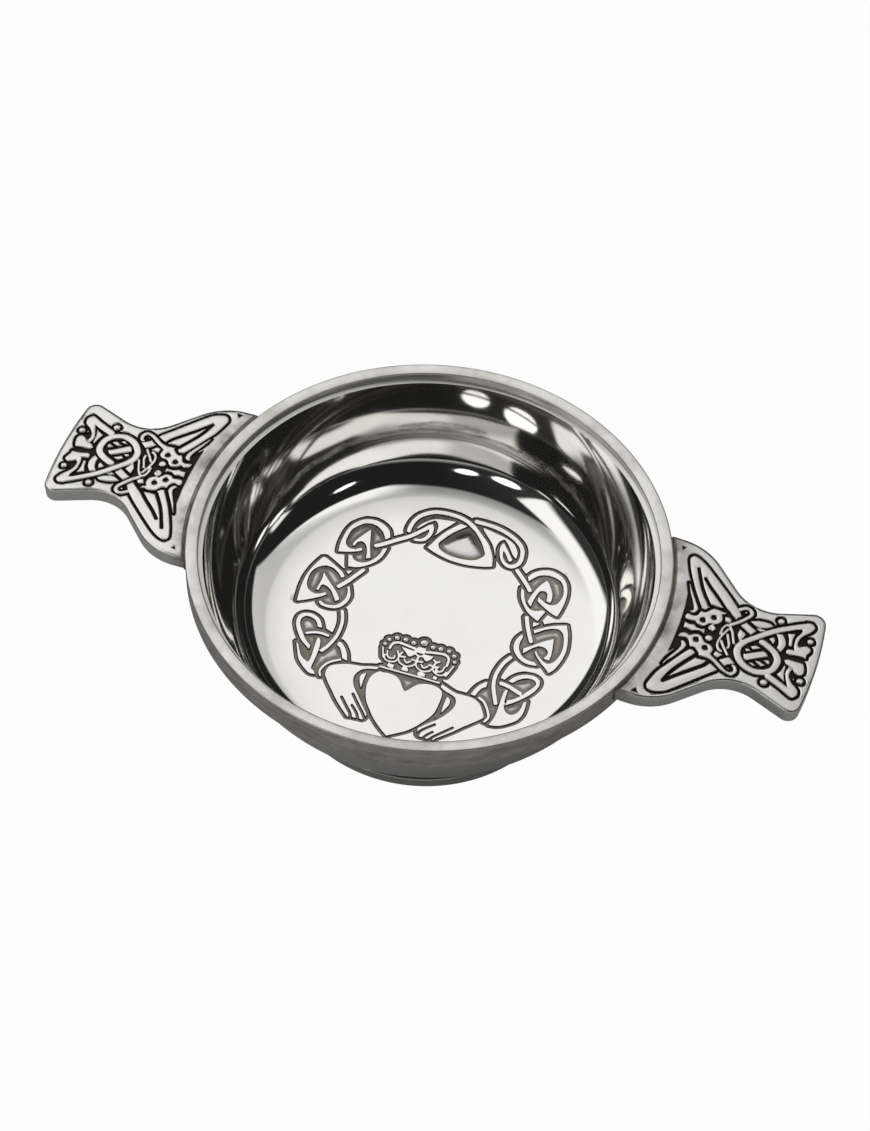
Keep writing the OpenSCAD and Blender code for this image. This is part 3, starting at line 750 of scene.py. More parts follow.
class ReliefField:
    """Signed distances to drawn shapes on a fine square grid, in millimetres."""

    def __init__(self, low, high, step):
        self.step = step
        self.xs = np.arange(low[0], high[0] + step, step)
        self.ys = np.arange(low[1], high[1] + step, step)
        self.far = 9.0

    def blank(self):
        return np.full((len(self.ys), len(self.xs)), self.far)

    def value(self, field, spot):
        """The field's value at a spot, blended from the four grid points round it."""
        across = (spot[0] - self.xs[0]) / self.step
        along = (spot[1] - self.ys[0]) / self.step
        column = min(max(int(across), 0), len(self.xs) - 2)
        row = min(max(int(along), 0), len(self.ys) - 2)
        u, v = across - column, along - row
        low = field[row, column] * (1 - u) + field[row, column + 1] * u
        high = field[row + 1, column] * (1 - u) + field[row + 1, column + 1] * u
        return float(low * (1 - v) + high * v)

    def draw(self, field, line, closed, width=0.0, margin=2.0):
        """Adds a closed outline, or a line of some width, to a field of distances."""
        low = line.min(0) - margin - width
        high = line.max(0) + margin + width
        rows = slice(*np.searchsorted(self.ys, (low[1], high[1])))
        columns = slice(*np.searchsorted(self.xs, (low[0], high[0])))
        x, y = np.meshgrid(self.xs[columns], self.ys[rows])
        nearest = np.full(x.shape, self.far ** 2)
        inside = np.zeros(x.shape, bool)
        ends = np.vstack([line[1:], line[:1]]) if closed else line[1:]
        if len(line) == 1:
            ends = line
        for (ax, ay), (bx, by) in zip(line, ends):
            along_x, along_y = bx - ax, by - ay
            length = max(along_x ** 2 + along_y ** 2, 1e-12)
            t = np.clip(((x - ax) * along_x + (y - ay) * along_y) / length, 0, 1)
            nearest = np.minimum(nearest, (x - ax - t * along_x) ** 2 + (y - ay - t * along_y) ** 2)
            if closed and ay != by:
                inside ^= ((ay > y) != (by > y)) & (x < ax + (y - ay) * along_x / (by - ay))
        distance = np.sqrt(nearest)
        signed = np.where(inside, -distance, distance) if closed else distance - width / 2
        field[rows, columns] = np.minimum(field[rows, columns], signed)

    def level_lines(self, field, level, keep=0.012):
        """Closed lines where the field crosses a level, thinned to the points that their shape needs."""
        above = field > level
        count = len(self.xs)
        links = {}

        def crossing(row, column, upright):
            return (row * count + column) * 2 + upright

        busy = above[:-1, :-1] + 2 * above[:-1, 1:] + 4 * above[1:, 1:] + 8 * above[1:, :-1]
        for row, column in zip(*np.nonzero((busy > 0) & (busy < 15))):
            case = busy[row, column]
            south = crossing(row, column, 0)
            east = crossing(row, column + 1, 1)
            north = crossing(row + 1, column, 0)
            west = crossing(row, column, 1)
            if case in (5, 10):
                middle = field[row:row + 2, column:column + 2].mean() > level
                if (case == 5) == middle:
                    pairs = [(south, east), (north, west)]
                else:
                    pairs = [(south, west), (north, east)]
            else:
                sides = {1: (west, south), 2: (south, east), 3: (west, east), 4: (east, north),
                         6: (south, north), 7: (west, north)}
                pairs = [sides[case if case < 8 else 15 - case]]
            for one, other in pairs:
                links.setdefault(one, []).append(other)
                links.setdefault(other, []).append(one)

        def spot(key):
            row, column = divmod(key // 2, count)
            here = field[row, column]
            there = field[row + 1, column] if key % 2 else field[row, column + 1]
            share = (level - here) / (there - here) * self.step
            x, y = self.xs[column], self.ys[row]
            return (x, y + share) if key % 2 else (x + share, y)

        loops = []
        while links:
            start, (key, _) = next((k, v) for k, v in links.items() if len(v) == 2)
            loop = [start]
            before = start
            while key != start:
                loop.append(key)
                one, other = links[key]
                before, key = key, other if one == before else one
            for key in loop:
                del links[key]
            loops.append(thinned(np.array([spot(key) for key in loop]), keep))
        return [loop for loop in loops if len(loop) > 3]


def thinned(loop, keep):
    """A closed line with only the points that lie more than keep from the chords between the others."""
    far = int(np.argmax(((loop - loop[0]) ** 2).sum(1)))
    closed = np.vstack([loop, loop[:1]])
    kept = {0, far}
    spans = [(0, far), (far, len(loop))]
    while spans:
        first, last = spans.pop()
        if last - first < 2:
            continue
        chord = closed[last] - closed[first]
        offset = closed[first + 1:last] - closed[first]
        length = max(np.hypot(*chord), 1e-9)
        distance = np.abs(chord[0] * offset[:, 1] - chord[1] * offset[:, 0]) / length
        worst = int(np.argmax(distance))
        if distance[worst] > keep:
            kept.add(first + 1 + worst)
            spans += [(first, first + 1 + worst), (first + 1 + worst, last)]
    return loop[sorted(k for k in kept if k < len(loop))]


def sunk_field(grid, border, outlines, strands, grounds, cuts, dots=()):
    """How far each spot lies inside the sunk part of a struck pattern; negative on its flush tops."""
    top, ground, cut = grid.blank(), grid.blank(), grid.blank()
    for runs in outlines.values():
        grid.draw(top, np.vstack([curve_through(run) for run in runs]), True)
    for width, points in strands.values():
        grid.draw(top, curve_through(points), False, width)
    for x, y, radius in dots:
        grid.draw(top, np.array([(x, y)]), False, 2 * radius)
    for points in grounds.values():
        grid.draw(ground, np.array(points, float), True)
    for width, points in cuts.values():
        grid.draw(cut, curve_through(points), False, width)
    return np.maximum(np.minimum(top, np.maximum(border - top, -ground)), -cut)


def struck_sheet(grid, sunk, profile, outline, guides=()):
    """Points, faces and sunk distances of a sheet inside an outline, with the pattern sunk into it."""
    points, edges, known = [], [], []
    levels, heights = zip(*profile)
    loops = [(outline, 0.0)] + [(guide, None) for guide in guides]
    loops += [(loop, level) for level in levels for loop in grid.level_lines(sunk, level)]
    for loop, level in loops:
        first = len(points)
        points += [Vector(p) for p in loop]
        edges += [(first + i, first + (i + 1) % len(loop)) for i in range(len(loop))]
        known += [level] * len(loop)
    flat, _, faces, sources, _, _ = delaunay_2d_cdt(points, edges, [], 1, 1e-6)
    given = [known[source[0]] if source else None for source in sources]
    depth = [grid.value(sunk, p) if level is None else level for p, level in zip(flat, given)]
    lift = np.interp(depth, levels, heights)
    return [(p.x, p.y, h) for p, h in zip(flat, lift)], faces, depth


def ring_of_points(radius):
    turns = [2 * math.pi * i / round_steps for i in range(round_steps)]
    return [(radius * math.cos(t), radius * math.sin(t)) for t in turns]


def floor_rise(x, y):
    """How far the floor has risen at a spot above its flat middle."""
    past = max(math.hypot(x, y) - floor_r, 0.0)
    return rise_r - math.sqrt(rise_r ** 2 - past ** 2)


floor_grid = ReliefField(low=(-struck_r, -struck_r), high=(struck_r, struck_r), step=relief_step)
floor_sunk = sunk_field(floor_grid, floor_border, floor_outlines, floor_strands, floor_grounds, floor_cuts,
                        crown_beads)
floor_profile = [(0.0, 0.0), (0.22, -0.34), (0.5, -0.34), (0.9, -0.26), (1.3, -0.18), (1.8, -0.12),
                 (2.4, -0.07)]
ring_steps = [i / rise_ring_count for i in range(rise_ring_count)]
rise_rings = [ring_of_points(floor_r + rise_w * step) for step in ring_steps]
floor_points, floor_faces, floor_depth = struck_sheet(floor_grid, floor_sunk, floor_profile,
                                                      ring_of_points(struck_r), rise_rings)


def join_sheet(piece, points, faces, depth):
    """Adds a struck sheet to a piece's mesh, closes the seam and keeps the sunk distance on its points."""
    skin = bmesh.new()
    skin.from_mesh(piece.data)
    layer = skin.verts.layers.float.new("sunk")
    made = []
    for point, value in zip(points, depth):
        vertex = skin.verts.new(tuple(c * mm for c in point))
        vertex[layer] = value
        made.append(vertex)
    for face in faces:
        skin.faces.new([made[i] for i in face])
    bmesh.ops.remove_doubles(skin, verts=skin.verts, dist=weld_gap)
    bmesh.ops.recalc_face_normals(skin, faces=skin.faces)
    skin.to_mesh(piece.data)
    skin.free()
    smooth(piece.data)


join_sheet(bowl, [(x, y, floor_z + floor_rise(x, y) + z) for x, y, z in floor_points], floor_faces,
           floor_depth)
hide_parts("bowl")
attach(bowl, "root")

# Crown beads: small round studs that stand along the top of the crown, struck with the floor.
# They are domed a little above it and polished with the rest.
bead_rise = 0.28
bead_sink = 0.02
bead_sides = 20
bead_rings = 12


def bead_tree():
    """A low dome on every given point, as wide as the point says."""
    ins = {"Spots": "Geometry", "Rise": "Float", "Finish": "Material"}
    tree, given, result = new_tree("domed beads", "GeometryNodeTree", ins, {"Beads": "Geometry"})
    nodes = tree.nodes
    ball = nodes.new("GeometryNodeMeshUVSphere")
    ball.inputs["Segments"].default_value = bead_sides
    ball.inputs["Rings"].default_value = bead_rings
    ball.inputs["Radius"].default_value = 1.0
    wide = nodes.new("GeometryNodeInputNamedAttribute")
    wide.inputs["Name"].default_value = "bead_r"
    low = nodes.new("ShaderNodeMath")
    low.operation = "MULTIPLY"
    size = nodes.new("ShaderNodeCombineXYZ")
    spread = nodes.new("GeometryNodeInstanceOnPoints")
    soft = nodes.new("GeometryNodeSetShadeSmooth")
    realized = nodes.new("GeometryNodeRealizeInstances")
    finish = nodes.new("GeometryNodeSetMaterial")
    join = tree.links.new
    join(wide.outputs["Attribute"], low.inputs[0])
    join(given.outputs["Rise"], low.inputs[1])
    join(wide.outputs["Attribute"], size.inputs["X"])
    join(wide.outputs["Attribute"], size.inputs["Y"])
    join(low.outputs[0], size.inputs["Z"])
    join(given.outputs["Spots"], spread.inputs["Points"])
    join(ball.outputs["Mesh"], soft.inputs["Geometry"])
    join(soft.outputs["Geometry"], spread.inputs["Instance"])
    join(size.outputs["Vector"], spread.inputs["Scale"])
    join(spread.outputs["Instances"], realized.inputs["Geometry"])
    join(realized.outputs["Geometry"], finish.inputs["Geometry"])
    join(given.outputs["Finish"], finish.inputs["Material"])
    join(finish.outputs["Geometry"], result.inputs["Beads"])
    return tree


domed_beads = bead_tree()


def beaded(name, spots, material):
    """Beads at spots of x, y, z and radius, in millimetres."""
    piece = new_piece(name, [spot[:3] for spot in spots])
    radii = piece.data.attributes.new("bead_r", "FLOAT", "POINT")
    radii.data.foreach_set("value", [spot[3] * mm for spot in spots])
    return grown(piece, domed_beads, rise=bead_rise, finish=material)


bead_pewter = metal_material("bead_pewter", mirror_tone, rough=0.1, smear=0.05, stained=0.1, bump=0.05)
bead_spots = [(x, y, floor_z - bead_sink, r) for x, y, r in crown_beads]
crown_studs = beaded("crown_beads", bead_spots, bead_pewter)
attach(crown_studs, "root")

# Rim band: a turned pewter hoop that seats the bowl's lip and carries the lugs on its plain upright face.
# Its top is left satin from the lathe and falls a little inwards, and hands have left dirt on its outside.
rim_low, rim_high = [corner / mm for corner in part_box("rim_band")]
rim_r = rim_high.x
rim_top = rim_high.z
band_z = rim_low.z
rim_bevel = 0.35
rim_fall = 0.22
lip_under = 0.1
bore_r = lip_r - lip_under
satin_tone = (0.86, 0.85, 0.825)
hand_dirt = (rim_r + 0.1, rim_r - 0.25, (0.2, 0.13, 0.085))
satin_pewter = metal_material("satin_pewter", satin_tone, rough=0.17, smear=0.12, stained=0.35, bump=0.25,
                              lines=5200, dirt=hand_dirt)


def bowl_outer_r(z):
    """Radius of the bowl's outside at a height on its wall."""
    return wall_c.x + math.sqrt((wall_r + shell_t) ** 2 - (z - wall_c.y) ** 2)


def rounded(corner, towards, away, radius, steps=4):
    """A square corner rounded off between the two directions that leave it."""
    corner, towards, away = Vector(corner), Vector(towards), Vector(away)
    centre = corner + radius * (towards + away)
    turns = [math.pi / 2 * i / steps for i in range(steps + 1)]
    return [tuple(centre - radius * (away * math.cos(t) + towards * math.sin(t))) for t in turns]


seat_steps = 8
seat_heights = [band_z + (lip_z - band_z) * i / seat_steps for i in range(seat_steps + 1)]
rim_section = [(bowl_outer_r(z), z) for z in seat_heights]
rim_section[-1] = (lip_r, lip_z)
rim_section += [(bore_r, lip_z)]
rim_section += rounded((bore_r, rim_top - rim_fall), (0, -1), (1, 0), rim_bevel)
rim_section += rounded((rim_r, rim_top), (-1, 0), (0, -1), rim_bevel)
rim_section += rounded((rim_r, band_z), (0, 1), (-1, 0), rim_bevel)
rim_band = spun("rim_band_dressed", rim_section, True, satin_pewter)
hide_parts("rim_band")
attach(rim_band, "root")

# Foot ring: a turned pewter pedestal that flares in a hollow curve from its neck to an upright edge.
# It is soldered to the bowl's underside and left hollow below. Its flare is painted near black just above
# the edge, as shade.
foot_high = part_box("foot_ring")[1] / mm
foot_r = foot_high.x
foot_top = foot_high.z
foot_edge_h = 2.4
foot_side_r = 11.0
foot_t = 1.8
neck_r = 24.5
stand_w = 3.9
foot_rise = math.sqrt(foot_side_r ** 2 - (neck_r + foot_side_r - foot_r) ** 2)
foot_c = (neck_r + foot_side_r, foot_edge_h + foot_rise)
top_turn = 180 - math.degrees(math.asin((foot_top - foot_c[1]) / foot_side_r))
foot_inner_r = foot_side_r + foot_t
inner_top_turn = 180 - math.degrees(math.asin((foot_top - foot_c[1]) / foot_inner_r))
flange_turn = angle_of(foot_c, (foot_r, foot_edge_h)) % 360
stand_in = foot_r - stand_w
foot_bevel = 0.3
foot_soft_edge = ((0.2, 0.0), (0.06, 0.08), (0.0, 0.3))
# Painted shade: the foot's pewter is painted a darker tone than the bowl's, for the dim surroundings it
# reflects.
foot_tone_with_painted_shade = (0.74, 0.73, 0.7)
# Painted shade: from just above the upright edge, the foot's hollow flare is painted near black for the
# dark it reflects.
foot_painted_shade = (foot_edge_h + 0.02, foot_edge_h + 0.12, (0.03, 0.027, 0.024), 0.95)
foot_pewter = metal_material("foot_pewter", foot_tone_with_painted_shade, rough=0.06, smear=0.06, stained=0.3, bump=0.1,
                             lines=4200, recess_painted_shade=foot_painted_shade)
inner_low_turn = 180 + math.degrees(math.acos((foot_c[0] - stand_in) / foot_inner_r))
foot_section = arc(foot_c, foot_side_r, top_turn, flange_turn)[:-1]
foot_section += [(foot_r - inward, foot_edge_h - down) for inward, down in foot_soft_edge]
foot_section += rounded((foot_r, 0.0), (0, 1), (-1, 0), foot_bevel)
foot_section += rounded((stand_in, 0.0), (1, 0), (0, 1), foot_bevel)
foot_section += arc(foot_c, foot_inner_r, inner_low_turn, inner_top_turn)
foot_ring = spun("foot_ring_dressed", foot_section, True, foot_pewter)
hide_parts("foot_ring")
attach(foot_ring, "root")

# Lugs: two flat handles cast in pewter from one pattern, soldered to the rim opposite each other.
# They droop a little, and round studs stand near their tips.
# Winged beasts with knotted necks are cast into the tops; the sunk parts are blackened, with painted shade
# on their steep banks, and the tops rubbed.
lug_t = 3.8
lug_droop = math.radians(2.8)
lug_top_z = 42.75
seam_w = 0.3
lug_round = 0.6
lug_border = 0.6
seam_open = 0.5
shoulder_c = (49.5, 8.3)
shoulder_r = 12.7
waist_c = (70.0, 19.3)
waist_r = 9.5
tip_r = rim_r + 32.6
corner_r = 2.4
tip_half_w = 12.9
corner_c = (math.sqrt((tip_r - corner_r) ** 2 - (tip_half_w - corner_r) ** 2), tip_half_w - corner_r)
lug_outlines = {
    "upper wing": (
        [(52.55, 17.65), (52, 17), (52.1, 16), (52.7, 14.3), (53.5, 12.5), (54.4, 10.7), (55.3, 9),
         (56.4, 7.2), (57.75, 5.05)],
        [(58.5, 5.2), (59, 5.9), (59.3, 6.8), (60.4, 6.75), (61.6, 6.95), (62.8, 6.9), (63.8, 6.15),
         (64.95, 5.1)],
        [(65.9, 6.3), (65.1, 7.6)],
        [(65.1, 7.6), (62.75, 10), (60.6, 11.95), (58.3, 14), (56, 15.95), (54.7, 16.85), (53.5, 17.45),
         (52.55, 17.65)]),
    "upper leg": (
        [(53.5, 10.4), (54.4, 9), (55.25, 7.6), (56.15, 6.2), (56.9, 5), (56.95, 4.2), (56.5, 3.5),
         (55.8, 3.25)],
        [(55.55, 3.65), (56, 4.05), (56.05, 4.7), (55.7, 5.6), (55.1, 6.8), (54.4, 8.1), (53.5, 10.4)]),
    "upper body": (
        [(54.95, 2.3), (55.3, 2.95), (56, 2.75), (56.9, 2.9), (57.4, 3.6), (57.6, 4.4), (58.2, 4.4),
         (58.9, 4.8), (59.4, 5.5), (60, 6), (61, 6.15), (62, 5.95), (62.85, 6.1)],
        [(62.6, 5.5), (62, 5.2), (62.35, 4.4), (62.4, 3.6), (62, 2.8), (61.2, 2.25), (60.3, 2.2),
         (59.8, 1.6), (59.3, 1.05), (58.6, 0.85), (57.8, 1), (57.2, 1.5), (56.5, 1.4), (55.6, 1.3),
         (55.1, 1.6), (54.95, 2.3)]),
    "bridge": (
        [(55.3, 0.6), (56.3, 0.4), (57.2, 0.6), (58, 0.1), (58.8, 0.05), (59.6, 0.4)],
        [(59.7, -0.8), (58.6, -0.5), (57.6, -0.8), (57, -1.1), (56.2, -0.9), (55.4, -0.9)]),
    "lower body and neck": (
        [(55, -3.4), (55.05, -2.8), (55.4, -2.25), (56.2, -2), (57, -2.3), (57.5, -1.9), (58.2, -1.5),
         (58.9, -1.4), (59.6, -1.8), (60.1, -2.5), (60.6, -2.9), (61.4, -2.95), (62.2, -3.4),
         (62.55, -4.2), (62.3, -5.2)],
        [(62.3, -5.2), (63, -5.75), (64, -6.3), (65, -7), (66, -7.75), (66.8, -8.05), (67.4, -7.9),
         (67.7, -7.4), (67.6, -6.8), (67.1, -6.3)],
        [(67.3, -5.95), (67.9, -6.1), (68.4, -6.8), (68.5, -7.6), (68.1, -8.4), (67.4, -8.85),
         (66.4, -8.7), (65.2, -8.2), (64.2, -7.5), (63.2, -6.85), (62, -6.5), (61, -6.5), (60.2, -6.5)],
        [(60.1, -6), (59.4, -5.3), (58.7, -4.9), (58, -5), (57.6, -4.4), (57.3, -3.7), (56.8, -3.3),
         (56.2, -3.2), (55.6, -3.4), (55, -3.4)]),
    "lower wing": (
        [(52.5, -18.1), (52.2, -17.2), (52.4, -16.2), (52.95, -14.4), (53.6, -12.8), (54.8, -10.8),
         (55.9, -8.9), (57.1, -6.9), (58, -5.6)],
        [(58.8, -5.6), (59.3, -6.2), (59.6, -7.2), (60.6, -7.25), (61.8, -7.15), (62.7, -7.4),
         (63.6, -7.8), (64.6, -8.4)],
        [(64.4, -8.9), (62.35, -11), (60.5, -13), (58.6, -15), (56.7, -17), (55.6, -17.8),
         (54.4, -18.3), (53.2, -18.5), (52.5, -18.1)]),
    "lower leg": (
        [(53.8, -11.3), (54.6, -10), (55.3, -9), (55.9, -8), (56.5, -6.9), (56.95, -6), (57.1, -5.1),
         (56.8, -4.4), (56.1, -4.05)],
        [(55.8, -4.35), (56.1, -5), (56.05, -5.8), (55.6, -7), (55, -8.2), (54.3, -9.7),
         (53.8, -11.3)]),
    "first scale": ([(62.75, 4.9)], [(63.65, 5.15)], [(64.25, 4.6)], [(64, 3.8)], [(63.1, 3.75)]),
    "second scale": ([(67.2, 5.3)], [(69.7, 3.85)], [(68.8, 2.5)], [(66.3, 4.05)]),
    "third scale": ([(66.4, 3.15)], [(67.95, 2.25)], [(67.05, 0.15)], [(66.3, 1.6)]),
    "fourth scale": (
        [(66.15, -4.45)],
        [(67.55, -5.6)],
        [(66.1, -6.6), (65.8, -7.05)],
        [(64.4, -5.95)],
        [(65.3, -5)]),
    "fifth scale": ([(63.1, -4.1)], [(64.7, -4.4)], [(64.3, -5.1)], [(63.8, -5.6)], [(63, -5.2)]),
    "outer leaf": (
        [(67.95, 5.8), (69.1, 6.5), (70.5, 6.85), (72, 6.85), (72.7, 6.35)],
        [(72.7, 6.35), (71.6, 5.5), (70.6, 5.15), (69.4, 4.95)]),
    "leaf chip": ([(69.5, 4.5)], [(70.2, 4.9)], [(71.2, 4.8)], [(70.4, 4.1)]),
    "ring bar": (
        [(68.65, -2.6), (70.5, -1.4), (72.3, -0.35)],
        [(73, -0.6)],
        [(73.55, -1.3), (71.7, -2.5), (70.2, -3.5), (69.6, -3.95)],
        [(69, -3.6)]),
    "first ring chip": ([(69.6, -0.3)], [(70.5, 0.5)], [(71.6, 0.1)], [(70.2, -0.8)]),
    "second ring chip": ([(68.7, -1.2)], [(69.2, -0.9)], [(69.8, -1.3)], [(69, -1.8)]),
    "third ring chip": ([(72.9, -2.6)], [(73.9, -2.1)], [(74.2, -2.6)], [(74.1, -3.3)]),
    "fourth ring chip": ([(71.3, -3.4)], [(72.2, -3.1)], [(73.5, -3.7)], [(72.7, -4.3)]),
    "fifth ring chip": ([(70.2, -4.3)], [(70.8, -4.1)], [(71.7, -4.4)], [(71.2, -4.8)]),
    "loop": (
        [(73.8, 4.75)],
        [(74.9, 5.3), (75.7, 4.4), (76.2, 3.2), (76.1, 1.9), (75.7, 0.75)],
        [(74.7, 1.45), (74.75, 2.6), (74.4, 3.8), (73.8, 4.75)]),
    "loop chip": ([(72.65, 3.15)], [(73.5, 3.95)], [(73.95, 3)], [(73.75, 2.15)]),
    "upper head": (
        [(79, 10), (80, 10.15), (80.7, 9.7), (80.9, 9.1), (80.5, 8.1), (79.8, 7.2), (79.1, 6.3),
         (78.6, 5.25), (78.5, 4), (78.85, 3.4)],
        [(78.85, 3.4), (79.8, 4), (80.5, 4.2), (81.25, 3.8), (81.4, 3.1), (80.9, 1.9), (80.9, 1.1)],
        [(80.9, 1.1), (80, 1.2), (78.6, 1.05), (77.3, 0.7)],
        [(76.8, 0.95), (76.7, 1.7), (77, 2.1), (78.2, 2.3)],
        [(78.2, 2.3), (77.9, 3.2), (77.8, 4.5), (77.9, 5.7), (78.6, 7.4), (78.3, 8.3)]),
    "upper cheek": (
        [(77.4, 6.4)],
        [(76, 5.8)],
        [(76.55, 4.5), (76.85, 2.9)],
        [(77.45, 3), (77.25, 4.7)]),
    "lower head": (
        [(76.9, -0.9)],
        [(77.5, -0.35), (79.3, -0.35), (80.7, -0.25)],
        [(80.7, -0.25), (81.1, -1), (81.4, -2.2), (81.2, -3.1), (80.4, -3.5), (79.5, -3), (79, -2.4),
         (78.2, -2.1), (77.4, -1.75)]),
    "lower branch": (
        [(79, -2.4), (78.7, -3.5), (78.9, -4.7), (79.8, -5.9), (80.9, -6.7), (81.4, -7.6), (81.3, -8.6),
         (80.6, -9.4)],
        [(79.3, -8.9)],
        [(78.6, -7.5)],
        [(79.1, -7.05), (78.6, -5.95), (78.1, -4.7), (77.85, -3.5), (78.1, -2.4)]),
    "lower cheek": (
        [(77.2, -2.2)],
        [(77.55, -2.4), (77.6, -4), (78.1, -6)],
        [(76.35, -4.9), (76.9, -3.6)]),
}
lug_strands = {
    "upper hook": (0.85, [(64.5, 3.6), (65.7, 4.7), (66.8, 6), (67.6, 7.1), (67.75, 7.9), (67.2, 8.6),
        (66.2, 8.7), (65.2, 8)]),
    "first vein": (0.55, [(62.95, 0.4), (62.95, 1.6), (63.3, 2.6), (63.9, 3.1), (64.6, 2.6),
        (65.2, 1.6), (65.7, 0.3), (66.1, -0.8)]),
    "second vein": (0.55, [(64.1, 2), (63.6, 0.8), (63.2, -0.3), (62.95, -1.5), (63.1, -2.7),
        (63.6, -3.5), (64.2, -3.8)]),
    "third vein": (0.55, [(64.4, 0.7), (64.85, -0.4), (65.3, -1.5), (65.3, -2.4)]),
    "fourth vein": (0.55, [(63.6, -1.3), (64.3, -2.4), (65, -3.3), (65.6, -4.1)]),
    "knot ring": (1.45, [(71.6, 1.7), (73.2, 1), (74.7, 0), (75.5, -1.2), (75.6, -2.4), (75.2, -4),
        (74.2, -5.1), (72.8, -5.75), (71.3, -5.95), (69.6, -5.45), (68.2, -4.3), (67.3, -2.7),
        (67.25, -1.2), (67.9, 0.2)]),
    "long neck": (1.3, [(67.9, 0.2), (68.6, 1), (70.4, 2.75), (72.1, 4.4), (73.9, 5.9), (75.7, 7.1),
        (77.9, 8.5), (79.6, 9.4)]),
    "lower arm": (1.5, [(74.9, -6.1), (76.6, -6.8), (78.4, -7.6), (80.3, -8.6)]),
}
lug_discs = [(60.9, 1.2, 0.75), (61, -1.5, 0.75)]
lug_studs = [(73.9, 8.25, 0.7), (74.3, -7.85, 0.75), (80.8, 5.55, 0.65), (81.15, -4.8, 0.7)]
lug_grounds = {
    "beasts": [(54.4, 0), (54.3, 4), (53.9, 8), (57, 5), (60, 6.5), (63, 6.5), (65, 5), (66, 7.5),
        (67, 7.5), (68, 6), (72, 6), (74, 8), (76, 7.5), (79, 6.5), (80.5, 4.5), (80.9, 0.4),
        (80.8, -3.5), (79.5, -5), (76, -6), (72, -6.3), (68, -5), (67, -7.5), (65, -6.5), (60, -4),
        (57, -4.5), (54, -8), (54.3, -4)],
    "mouth": [(76.8, 0.3), (78, 0.8), (79.5, 1), (80.7, 0.6), (80.6, 0), (79, -0.1), (77.5, -0.1)],
    "upper seam corner": [(49.4, 19.15), (50.35, 19.1), (49.85, 18.25)],
    "lower seam corner": [(49.7, -19.95), (51.1, -19.9), (50.45, -18.9)],
}
lug_cuts = {
    "first upper feather": (0.75, [(54.35, 14.7), (54.9, 13.5), (55.55, 12), (56.5, 10.1), (57.5, 8.5),
        (58.6, 7), (59, 6.4)]),
    "second upper feather": (0.75, [(56.4, 12.75), (57.9, 11.1), (60.1, 9.1), (61.7, 7.5),
        (62.6, 6.5)]),
    "first lower feather": (0.75, [(55, -15.2), (55.55, -13.6), (56.6, -11.3), (57.9, -9.2),
        (59.1, -7.4), (59.5, -6.7)]),
    "second lower feather": (0.75, [(55.2, -15), (56.5, -13.6), (58.1, -12), (60.2, -10), (61.7, -8.5),
        (62.5, -7.2)]),
    "first eye": (1.24, [(58.6, 2.4)]),
    "second eye": (1.2, [(60.6, 3.85)]),
    "third eye": (1.24, [(58.6, -2.85)]),
    "fourth eye": (1.24, [(60.85, -4.15)]),
    "ear slit": (0.3, [(60.3, 1.8), (61, 0.8)]),
}


def crossed_tangent(first, first_r, second, second_r):
    """Turn of the straight line that touches one circle from above and the next from below, in degrees."""
    between = Vector(second) - Vector(first)
    lean = math.degrees(math.acos((first_r + second_r) / between.length))
    return math.degrees(math.atan2(between.y, between.x)) + lean


shoulder_turn = crossed_tangent(shoulder_c, shoulder_r, waist_c, waist_r)
flipped_corner = (-corner_c[0], corner_c[1])
flipped_waist = (-waist_c[0], waist_c[1])
corner_turn = 180 - crossed_tangent(flipped_corner, corner_r, flipped_waist, waist_r)
tip_turn = angle_of((0, 0), corner_c)


def lug_side(inset):
    """One side of the lug's outline from the seam to the middle of its tip, drawn in by an inset."""
    side = arc(shoulder_c, shoulder_r - inset, 90, shoulder_turn, steps=16)
    side += arc(waist_c, waist_r + inset, 180 + shoulder_turn, 180 + corner_turn, steps=24)
    side += arc(corner_c, corner_r - inset, corner_turn, tip_turn, steps=12)
    side += arc((0, 0), tip_r - inset, tip_turn, 0, steps=16)[1:]
    return side


def seam_reach(v, sink):
    """How far along the lug its seam with the rim lies at a distance from the middle and a depth."""
    opened = seam_open * max(1 + sink / lug_round, 0.0)
    across = math.sqrt((rim_r + seam_w + opened) ** 2 - v ** 2)
    return rim_r + (across - rim_r - sink * math.sin(lug_droop)) / math.cos(lug_droop)


def lug_ring(inset, sink, seam_steps=40):
    """The lug's whole outline at a depth below its top, starting along the seam."""
    side = lug_side(inset)
    half = side[0][1]
    seam_v = [-half + 2 * half * i / seam_steps for i in range(seam_steps + 1)]
    ring = [(seam_reach(v, sink), v, sink) for v in seam_v]
    ring += [(u, v, sink) for u, v in side]
    ring += [(u, -v, sink) for u, v in reversed(side[:-1])]
    return ring


def lug_place(u, v, w):
    """A spot on the level pattern, moved to its place on the drooping lug."""
    along = u - rim_r
    x = rim_r + along * math.cos(lug_droop) + w * math.sin(lug_droop)
    z = lug_top_z - along * math.sin(lug_droop) + w * math.cos(lug_droop)
    return x, v, z


